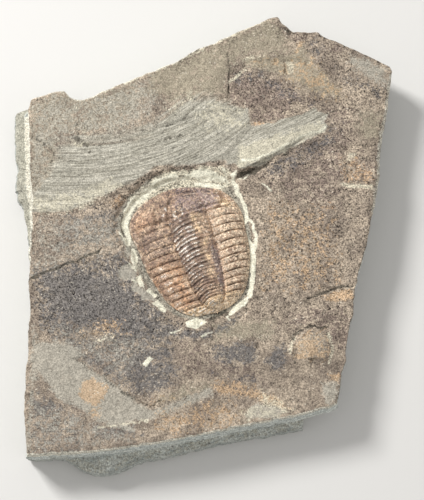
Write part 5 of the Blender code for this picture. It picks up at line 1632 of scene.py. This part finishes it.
class NodeSheet:
    """A node tree, with short calls for the nodes that the finishes use."""

    def __init__(self, tree: bpy.types.NodeTree) -> None:
        """Keep the tree that the nodes go in."""
        self.tree = tree

    def add(self, kind: str, **settings: Any) -> bpy.types.Node:
        """Add a node of a kind, with the given settings."""
        node = self.tree.nodes.new(kind)
        for name, value in settings.items():
            setattr(node, name, value)
        return node

    def feed(self, socket: Socket, value: Any) -> None:
        """Give a socket a value, or link it to another socket."""
        if isinstance(value, Socket):
            self.tree.links.new(value, socket)
        else:
            socket.default_value = value

    def math(self, operation: str, first: Any, second: Any) -> Socket:
        """Add a Math node and return its result."""
        node = self.add("ShaderNodeMath", operation=operation)
        self.feed(node.inputs[0], first)
        self.feed(node.inputs[1], second)
        return node.outputs[0]

    def mix(self, share: Any, first: Any, second: Any, blend: str = "MIX") -> Socket:
        """Mix two colours and return the result."""
        node = self.add("ShaderNodeMix", data_type="RGBA", blend_type=blend)
        self.feed(node.inputs[0], share)
        self.feed(node.inputs[6], first)
        self.feed(node.inputs[7], second)
        return node.outputs[2]

    def remap(self, value: Any, low: float, high: float, to_low: float = 0.0,
              to_high: float = 1.0) -> Socket:
        """Move a value smoothly from one range to another."""
        node = self.add("ShaderNodeMapRange", interpolation_type="SMOOTHSTEP")
        for index, number in enumerate((value, low, high, to_low, to_high)):
            self.feed(node.inputs[index], number)
        return node.outputs[0]

    def noise(self, vector: Any, size: float, detail: float = 2.0, rough: float = 0.6) -> Socket:
        """Return noise whose lumps are the given number of millimetres wide."""
        node = self.add("ShaderNodeTexNoise")
        self.feed(node.inputs["Vector"], vector)
        self.feed(node.inputs["Scale"], 1.0 / (size * MM))
        self.feed(node.inputs["Detail"], detail)
        self.feed(node.inputs["Roughness"], rough)
        return node.outputs["Fac"]

    def amount(self, name: str) -> Socket:
        """Read a number that the mesh keeps on its points."""
        return self.add("ShaderNodeAttribute", attribute_name=name).outputs["Fac"]

    def stretched(self, vector: Any, scale: tuple[float, float, float]) -> Socket:
        """Scale a vector along its three axes."""
        node = self.add("ShaderNodeVectorMath", operation="MULTIPLY")
        self.feed(node.inputs[0], vector)
        self.feed(node.inputs[1], scale)
        return node.outputs[0]

    def group(self, tree: bpy.types.NodeTree, **values: Any) -> bpy.types.Node:
        """Place a node group and feed its inputs by name."""
        node = self.add("ShaderNodeGroup", node_tree=tree)
        for name, value in values.items():
            self.feed(node.inputs[name], value)
        return node

    def axis(self, vector: Any, index: int) -> Socket:
        """Return one of a vector's three numbers."""
        node = self.add("ShaderNodeSeparateXYZ")
        self.feed(node.inputs[0], vector)
        return node.outputs[index]

    def mask(self, ragged: bpy.types.NodeTree, name: str, breakup: Any, width: float) -> Socket:
        """Return where a tint shows, with its edge broken up over a share of its softness."""
        node = self.group(ragged, Amount=self.amount(name), Breakup=breakup, Ragged=width)
        return node.outputs["Mask"]

    def lay(self, mask: Any, opacity: float, color: Any, paint: Any) -> Socket:
        """Lay paint over a colour where a mask says, and return the result."""
        return self.mix(self.math("MULTIPLY", mask, opacity), color, paint)

    def bump(self, shader: bpy.types.Node, height: Any) -> None:
        """Let the light catch a height, given in millimetres, on a shader's surface."""
        node = self.add("ShaderNodeBump")
        self.feed(node.inputs["Height"], height)
        self.feed(node.inputs["Distance"], MM)
        self.feed(node.inputs["Strength"], BUMP_STRENGTH)
        self.feed(shader.inputs["Normal"], node.outputs[0])


def new_material(name: str) -> tuple[bpy.types.Material, NodeSheet, bpy.types.Node]:
    """Start a material, and return it with its sheet of nodes and its surface shader."""
    material = bpy.data.materials.new(name)
    material.use_nodes = True
    return material, NodeSheet(material.node_tree), material.node_tree.nodes["Principled BSDF"]


def new_group(name: str, inputs: Sequence[tuple[str, str, float]],
              outputs: Sequence[tuple[str, str]]) -> tuple[bpy.types.NodeTree, NodeSheet, Any, Any]:
    """Start a shader node group.

    Args:
        name: Name of the group.
        inputs: Name, socket kind and default value of each input.
        outputs: Name and socket kind of each output.

    Returns:
        The tree, its sheet, and the nodes that hold its inputs and outputs.
    """
    tree = bpy.data.node_groups.new(name, "ShaderNodeTree")
    for label, kind, value in inputs:
        socket = tree.interface.new_socket(label, in_out="INPUT", socket_type=kind)
        if kind == "NodeSocketFloat":
            socket.default_value = value
    for label, kind in outputs:
        tree.interface.new_socket(label, in_out="OUTPUT", socket_type=kind)
    sheet = NodeSheet(tree)
    return tree, sheet, sheet.add("NodeGroupInput"), sheet.add("NodeGroupOutput")


def grain_group() -> bpy.types.NodeTree:
    """Build the salt-and-pepper grain of fine rock: a shade near 1, a height and rare pale specks.

    Returns:
        The group, with Vector, Contrast and Coarse inputs and Shade, Height and Specks outputs.
    """
    tree, sheet, source, target = new_group(
        "stone_grain",
        (("Vector", "NodeSocketVector", 0.0), ("Contrast", "NodeSocketFloat", 1.0),
         ("Coarse", "NodeSocketFloat", 1.0)),
        (("Shade", "NodeSocketFloat"), ("Height", "NodeSocketFloat"), ("Specks", "NodeSocketFloat")))
    vector = source.outputs["Vector"]
    fine = sheet.remap(sheet.noise(vector, 0.5, 2.0, 0.75), 0.33, 0.67, -0.5, 0.5)
    medium = sheet.remap(sheet.noise(vector, 1.5, 3.0, 0.7), 0.33, 0.67, -0.5, 0.5)
    pits = sheet.remap(sheet.noise(vector, 0.95, 1.0, 0.5), 0.30, 0.40, -0.36, 0.0)
    coarse = sheet.math("MULTIPLY", medium, source.outputs["Coarse"])
    both = sheet.math("ADD", sheet.math("ADD", fine, pits), coarse)
    shade = sheet.math("ADD", sheet.math("MULTIPLY", both, source.outputs["Contrast"]), 1.0)
    sheet.feed(target.inputs["Shade"], shade)
    sheet.feed(target.inputs["Height"], both)
    flecks = sheet.remap(sheet.noise(sheet.stretched(vector, (1.0, 1.4, 1.0)), 0.8, 2.0, 0.6), 0.62, 0.68)
    rare = sheet.remap(sheet.noise(vector, 7.0, 2.0, 0.6), 0.44, 0.6)
    sheet.feed(target.inputs["Specks"], sheet.math("MULTIPLY", flecks, rare))
    return tree


def ragged_group() -> bpy.types.NodeTree:
    """Build the effect that breaks a painted patch's soft edge into grains and fingers.

    Returns:
        The group, with Amount, Breakup and Ragged inputs and a Mask output.
    """
    tree, sheet, source, target = new_group(
        "ragged_patch",
        (("Amount", "NodeSocketFloat", 0.0), ("Breakup", "NodeSocketFloat", 0.5),
         ("Ragged", "NodeSocketFloat", 1.0)),
        (("Mask", "NodeSocketFloat"),))
    centred = sheet.math("SUBTRACT", source.outputs["Breakup"], 0.5)
    push = sheet.math("MULTIPLY", centred, source.outputs["Ragged"])
    present = sheet.remap(source.outputs["Amount"], 0.0, 0.12)
    moved = sheet.math("ADD", source.outputs["Amount"], sheet.math("MULTIPLY", push, present))
    sheet.feed(target.inputs["Mask"], sheet.remap(moved, 0.25, 0.75))
    return tree


@dataclass(frozen=True)
class PaintLayer:
    """One colour laid over the stone where the mesh has an amount of its tint."""

    tint: Enum
    color: Color
    opacity: float = 1.0
    ragged: float = 1.2


@dataclass(frozen=True)
class SiltstoneFinish:
    """The slab's stone: fine grained, stained by iron and manganese, pale where a tool has cut it, with
    painted shade and highlights.
    """

    name: str = "siltstone"
    tan: Color = rgb(188, 172, 152)
    brown: Color = rgb(138, 125, 112)
    pale_stroke: Color = rgb(220, 215, 199)
    dim_stroke: Color = rgb(140, 136, 122)
    wall: Color = rgb(216, 218, 210)
    wall_dark: Color = rgb(176, 181, 176)
    lower_bed_top: float = 7.5 * MM
    lip: Color = rgb(216, 211, 195)
    ledge: Color = rgb(172, 169, 155)
    floor: Color = rgb(158, 154, 140)
    speck: Color = rgb(226, 216, 198)
    powder: Color = rgb(246, 242, 220)
    powder_dim: Color = rgb(208, 205, 184)
    cream: Color = rgb(222, 214, 190)
    # Colour of the painted shade in cracks and under ledges.
    painted_shade: Color = rgb(80, 76, 66)
    roughness: float = 0.88
    specular: float = 0.25
    grain_height: float = 0.10
    groove_height: float = 0.10
    layers: tuple[PaintLayer, ...] = (
        PaintLayer(Tint.UMBER, rgb(130, 114, 105), 0.7, 1.4),
        PaintLayer(Tint.KHAKI, rgb(166, 156, 136), 0.88, 1.0),
        PaintLayer(Tint.STAIN, rgb(112, 109, 107), 0.84, 1.0),
        PaintLayer(Tint.CLEAN, rgb(180, 174, 160), 0.85, 0.7),
        PaintLayer(Tint.RUST, rgb(206, 174, 138), 0.7, 1.2),
    )

    def build(self, grain: bpy.types.NodeTree, ragged: bpy.types.NodeTree) -> bpy.types.Material:
        """Make the material.

        Args:
            grain: The stone grain group.
            ragged: The ragged patch group.

        Returns:
            The material.
        """
        material, sheet, shader = new_material(self.name)
        place = sheet.add("ShaderNodeTexCoord").outputs["Object"]
        stone = sheet.group(grain, Vector=place, Contrast=1.2, Coarse=0.4)
        broad = sheet.noise(place, 9.0, 4.0, 0.7)
        lumps = sheet.remap(sheet.noise(place, 2.8, 4.0, 0.75), 0.32, 0.68)
        crumbs = sheet.remap(sheet.noise(place, 0.85, 2.0, 0.65), 0.34, 0.66)
        breakup = sheet.math("ADD", sheet.math("MULTIPLY", lumps, 0.55), sheet.math("MULTIPLY", crumbs, 0.45))
        color = sheet.mix(sheet.remap(broad, 0.32, 0.66), self.tan, self.brown)
        color = sheet.mix(sheet.remap(breakup, 0.45, 0.85, 0.0, 0.75), color, self.brown)
        for layer in self.layers:
            mask = sheet.mask(ragged, layer.tint.value, breakup, layer.ragged)
            color = sheet.lay(mask, layer.opacity, color, layer.color)
        color = sheet.lay(sheet.mask(ragged, "trough", breakup, 0.8), 0.75, color, self.floor)
        strokes, scrape = self._strokes(sheet)
        color = sheet.mix(scrape, color, sheet.mix(strokes, self.dim_stroke, self.pale_stroke))
        # Cream, partly painted highlights on edges.
        color = sheet.lay(sheet.mask(ragged, "cream", breakup, 1.1), 0.7, color, self.cream)
        # Painted shade in cracks and under ledges and steps.
        color = sheet.lay(sheet.mask(ragged, "painted_shade", breakup, 0.9), 0.8, color, self.painted_shade)
        powder = sheet.mask(ragged, "powder", breakup, 0.6)
        chalky = sheet.mix(sheet.remap(lumps, 0.5, 1.0), self.powder, self.powder_dim)
        color = sheet.lay(powder, 0.92, color, chalky)
        color = sheet.lay(stone.outputs["Specks"], 0.7, color, self.speck)
        wall_mask = sheet.amount("side")
        color = sheet.mix(wall_mask, color, self._wall(sheet, place))
        color = sheet.mix(sheet.mask(ragged, "ledge", breakup, 0.6), color, self.ledge)
        # The lip colour is also laid as a painted highlight along the far top edge.
        color = sheet.mix(sheet.mask(ragged, "lip", breakup, 0.4), color, self.lip)
        calm = powder
        for other in (sheet.math("MULTIPLY", scrape, 0.9), sheet.amount("clean"), sheet.amount("khaki"),
                      sheet.math("MULTIPLY", wall_mask, 0.6),
                      sheet.remap(sheet.axis(place, 1), -45.0 * MM, -20.0 * MM, 0.5, 0.0)):
            calm = sheet.math("MAXIMUM", calm, other)
        quiet = sheet.math("SUBTRACT", 1.0, sheet.math("MULTIPLY", calm, 0.6))
        shade = sheet.math("MULTIPLY", sheet.math("SUBTRACT", stone.outputs["Shade"], 1.0), quiet)
        shade = sheet.math("ADD", shade, 1.0)
        color = sheet.mix(1.0, color, shade, "MULTIPLY")
        sheet.feed(shader.inputs["Base Color"], color)
        sheet.feed(shader.inputs["Roughness"], self.roughness)
        sheet.feed(shader.inputs["Specular IOR Level"], self.specular)
        groove = sheet.math("MULTIPLY", sheet.math("SUBTRACT", strokes, 0.5), scrape)
        relief = sheet.math("MULTIPLY", stone.outputs["Height"], self.grain_height)
        sheet.bump(shader, sheet.math("ADD", relief, sheet.math("MULTIPLY", groove, self.groove_height)))
        return material

    def _strokes(self, sheet: NodeSheet) -> tuple[Socket, Socket]:
        """Return the scratches of the scraped fan, and the mask of where it is scraped."""
        join = sheet.add("ShaderNodeCombineXYZ")
        sheet.feed(join.inputs[0], sheet.math("MULTIPLY", sheet.amount("stroke_across"), MM))
        sheet.feed(join.inputs[1], sheet.math("MULTIPLY", sheet.amount("stroke_along"), MM / 26.0))
        fine = sheet.noise(join.outputs[0], 0.45, 3.0, 0.75)
        wide = sheet.noise(join.outputs[0], 2.0, 2.0, 0.6)
        both = sheet.math("ADD", sheet.math("MULTIPLY", fine, 0.72), sheet.math("MULTIPLY", wide, 0.28))
        strokes = sheet.remap(both, 0.36, 0.66)
        amount = sheet.amount("scrape")
        streaked = sheet.math("ADD", amount, sheet.math("MULTIPLY", sheet.math("SUBTRACT", wide, 0.5), 1.1))
        present = sheet.remap(amount, 0.02, 0.2)
        mask = sheet.math("MULTIPLY", sheet.remap(streaked, 0.15, 0.75), present)
        return strokes, sheet.math("MULTIPLY", mask, 0.92)

    def _wall(self, sheet: NodeSheet, place: Socket) -> Socket:
        """Return the colour of the broken sides, with the thin layers of the bed, and painted shade that
        darkens the lower bed.
        """
        layers = sheet.noise(sheet.stretched(place, (0.05, 0.05, 1.0)), 0.55, 3.0, 0.7)
        blotch = sheet.noise(place, 3.5, 4.0, 0.7)
        color = sheet.mix(sheet.remap(layers, 0.35, 0.65), self.wall_dark, self.wall)
        color = sheet.mix(sheet.remap(blotch, 0.5, 0.75, 0.0, 0.5), color, self.ledge)
        # Painted shade and light: the walls below the joint between the beds are darkened to 0.78, those
        # above it lightened to 1.1.
        joint = self.lower_bed_top
        bed = sheet.remap(sheet.axis(place, 2), joint - MM, joint + MM, 0.78, 1.1)
        return sheet.mix(1.0, color, bed, "MULTIPLY")


@dataclass(frozen=True)
class ShellFinish:
    """The fossil's shell: iron-brown calcite, darker in the furrows, with painted silvery highlights on the
    crests and painted shade and light in places.
    """

    name: str = "fossil_shell_mineral"
    base: Color = rgb(218, 188, 158)
    base_deep: Color = rgb(158, 130, 108)
    grain_height: float = 0.11
    layers: tuple[PaintLayer, ...] = (
        PaintLayer(ShellTint.RUST, rgb(204, 158, 120), 0.75, 1.0),
        # Pale gold: ochre in spots, and painted light over the tail.
        PaintLayer(ShellTint.GOLD_AND_LIGHT, rgb(255, 222, 178), 0.88, 1.1),
        PaintLayer(ShellTint.VIOLET, rgb(144, 127, 126), 0.75, 1.1),
        # Dark colour of the axis and left half, with painted shade on the left cheek and margin.
        PaintLayer(ShellTint.DARK_AND_SHADE, rgb(98, 82, 77), 0.68, 1.2),
        # Chalk: pale dust on the margins and in flecks, a paler right side, and painted light on the tail.
        PaintLayer(ShellTint.CHALK_AND_LIGHT, rgb(234, 216, 194), 0.62, 1.4),
        PaintLayer(ShellTint.FURROW, rgb(92, 70, 60), 0.7, 0.9),
        # Colour of the painted highlights.
        PaintLayer(ShellTint.PAINTED_HIGHLIGHT, rgb(244, 234, 220), 0.88, 1.1),
    )

    def build(self, grain: bpy.types.NodeTree, ragged: bpy.types.NodeTree) -> bpy.types.Material:
        """Make the material.

        Args:
            grain: The stone grain group.
            ragged: The ragged patch group.

        Returns:
            The material.
        """
        material, sheet, shader = new_material(self.name)
        place = sheet.add("ShaderNodeTexCoord").outputs["Object"]
        stone = sheet.group(grain, Vector=place, Contrast=0.88, Coarse=0.7)
        broad = sheet.noise(place, 3.0, 3.0, 0.65)
        breakup = sheet.remap(sheet.noise(place, 0.9, 3.0, 0.75), 0.34, 0.66)
        color = sheet.mix(sheet.remap(broad, 0.38, 0.62), self.base, self.base_deep)
        gloss = sheet.remap(breakup, 0.0, 1.0, 0.36, 0.62)
        for layer in self.layers:
            mask = sheet.mask(ragged, layer.tint.value, breakup, layer.ragged)
            color = sheet.lay(mask, layer.opacity, color, layer.color)
        color = sheet.mix(1.0, color, stone.outputs["Shade"], "MULTIPLY")
        sheet.feed(shader.inputs["Base Color"], color)
        sheet.feed(shader.inputs["Roughness"], gloss)
        sheet.bump(shader, sheet.math("MULTIPLY", stone.outputs["Height"], self.grain_height))
        return material


# The studio


@dataclass
class Studio:
    """A pale floor, soft light from the upper left and the camera that looks down on the slab."""

    target: tuple[float, float, float] = (3.5, -1.95, 10.0)
    distance: float = 620.0
    tilt: float = math.radians(10.0)
    lens: float = 130.46
    floor_color: Color = rgb(226, 224, 220)
    floor_size: float = 4.0
    floor_roughness: float = 0.9
    sky_strength: float = 0.46
    key_place: tuple[float, float, float] = (-0.66, 0.60, 0.68)
    key_size: float = 0.30
    key_power: float = 13.0
    fill_place: tuple[float, float, float] = (0.60, -0.35, 0.90)
    fill_size: float = 0.80
    fill_share: float = 0.08

    def build(self) -> None:
        """Add the floor, the lights and the camera."""
        bpy.ops.mesh.primitive_plane_add(size=self.floor_size, location=(0.0, 0.0, 0.0))
        floor = bpy.context.object
        floor.name = "pale_floor"
        material, sheet, shader = new_material("pale_floor")
        sheet.feed(shader.inputs["Base Color"], self.floor_color)
        sheet.feed(shader.inputs["Roughness"], self.floor_roughness)
        floor.data.materials.append(material)
        floor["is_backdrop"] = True
        world = bpy.data.worlds.new("soft_sky")
        world.use_nodes = True
        backdrop = world.node_tree.nodes["Background"]
        backdrop.inputs["Color"].default_value = (1.0, 1.0, 1.0, 1.0)
        backdrop.inputs["Strength"].default_value = self.sky_strength
        bpy.context.scene.world = world
        self._lamp("key_light", self.key_place, self.key_size, self.key_power)
        self._lamp("fill_light", self.fill_place, self.fill_size, self.fill_share * self.key_power)
        self._camera()

    def _lamp(self, name: str, place: tuple[float, float, float], size: float, power: float) -> None:
        """Add a square lamp that faces the slab."""
        bpy.ops.object.light_add(type="AREA", location=place)
        lamp = bpy.context.object
        lamp.name = name
        lamp.data.size = size
        lamp.data.energy = power
        lamp.rotation_euler = (-Vector(place)).to_track_quat("-Z", "Y").to_euler()

    def _camera(self) -> None:
        """Add the camera, tilted towards the slab's near side."""
        x, y, z = self.target
        place = (x, y - self.distance * math.sin(self.tilt), z + self.distance * math.cos(self.tilt))
        bpy.ops.object.camera_add(location=[v * MM for v in place], rotation=(self.tilt, 0.0, 0.0))
        camera = bpy.context.object
        camera.data.lens = self.lens
        bpy.context.scene.camera = camera
        bpy.context.scene.view_settings.view_transform = "Standard"


def corner_lists() -> list[list[float]]:
    """Return the lowest and highest corners of everything that is part of the object."""
    return [[float(value) for value in corner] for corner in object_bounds()]


def main() -> list[list[float]]:
    """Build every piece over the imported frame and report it.

    Returns:
        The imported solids' lowest and highest corners.
    """
    logging.basicConfig(level=logging.INFO, format="%(name)s: %(message)s")
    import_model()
    solid_box = corner_lists()
    bpy.ops.object.select_all(action="DESELECT")
    grain, ragged = grain_group(), ragged_group()
    seat = FossilSeat()
    pieces = ((SlabPiece(seat), SiltstoneFinish(), "matrix_slab", "matrix_rock"),
              (FossilPiece(seat), ShellFinish(), "trilobite", "fossil_shell"))
    for piece, finish, node, slot in pieces:
        item = piece.build()
        item.data.materials.append(finish.build(grain, ragged))
        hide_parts(node)
        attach(item, "root")
        item.data.calc_loop_triangles()
        LOG.info("%s stands for %s: %d triangles", item.name, node, len(item.data.loop_triangles))
        item.select_set(False)
    Studio().build()
    return solid_box


if __name__ == "__main__":
    SOLID_BOX = main()
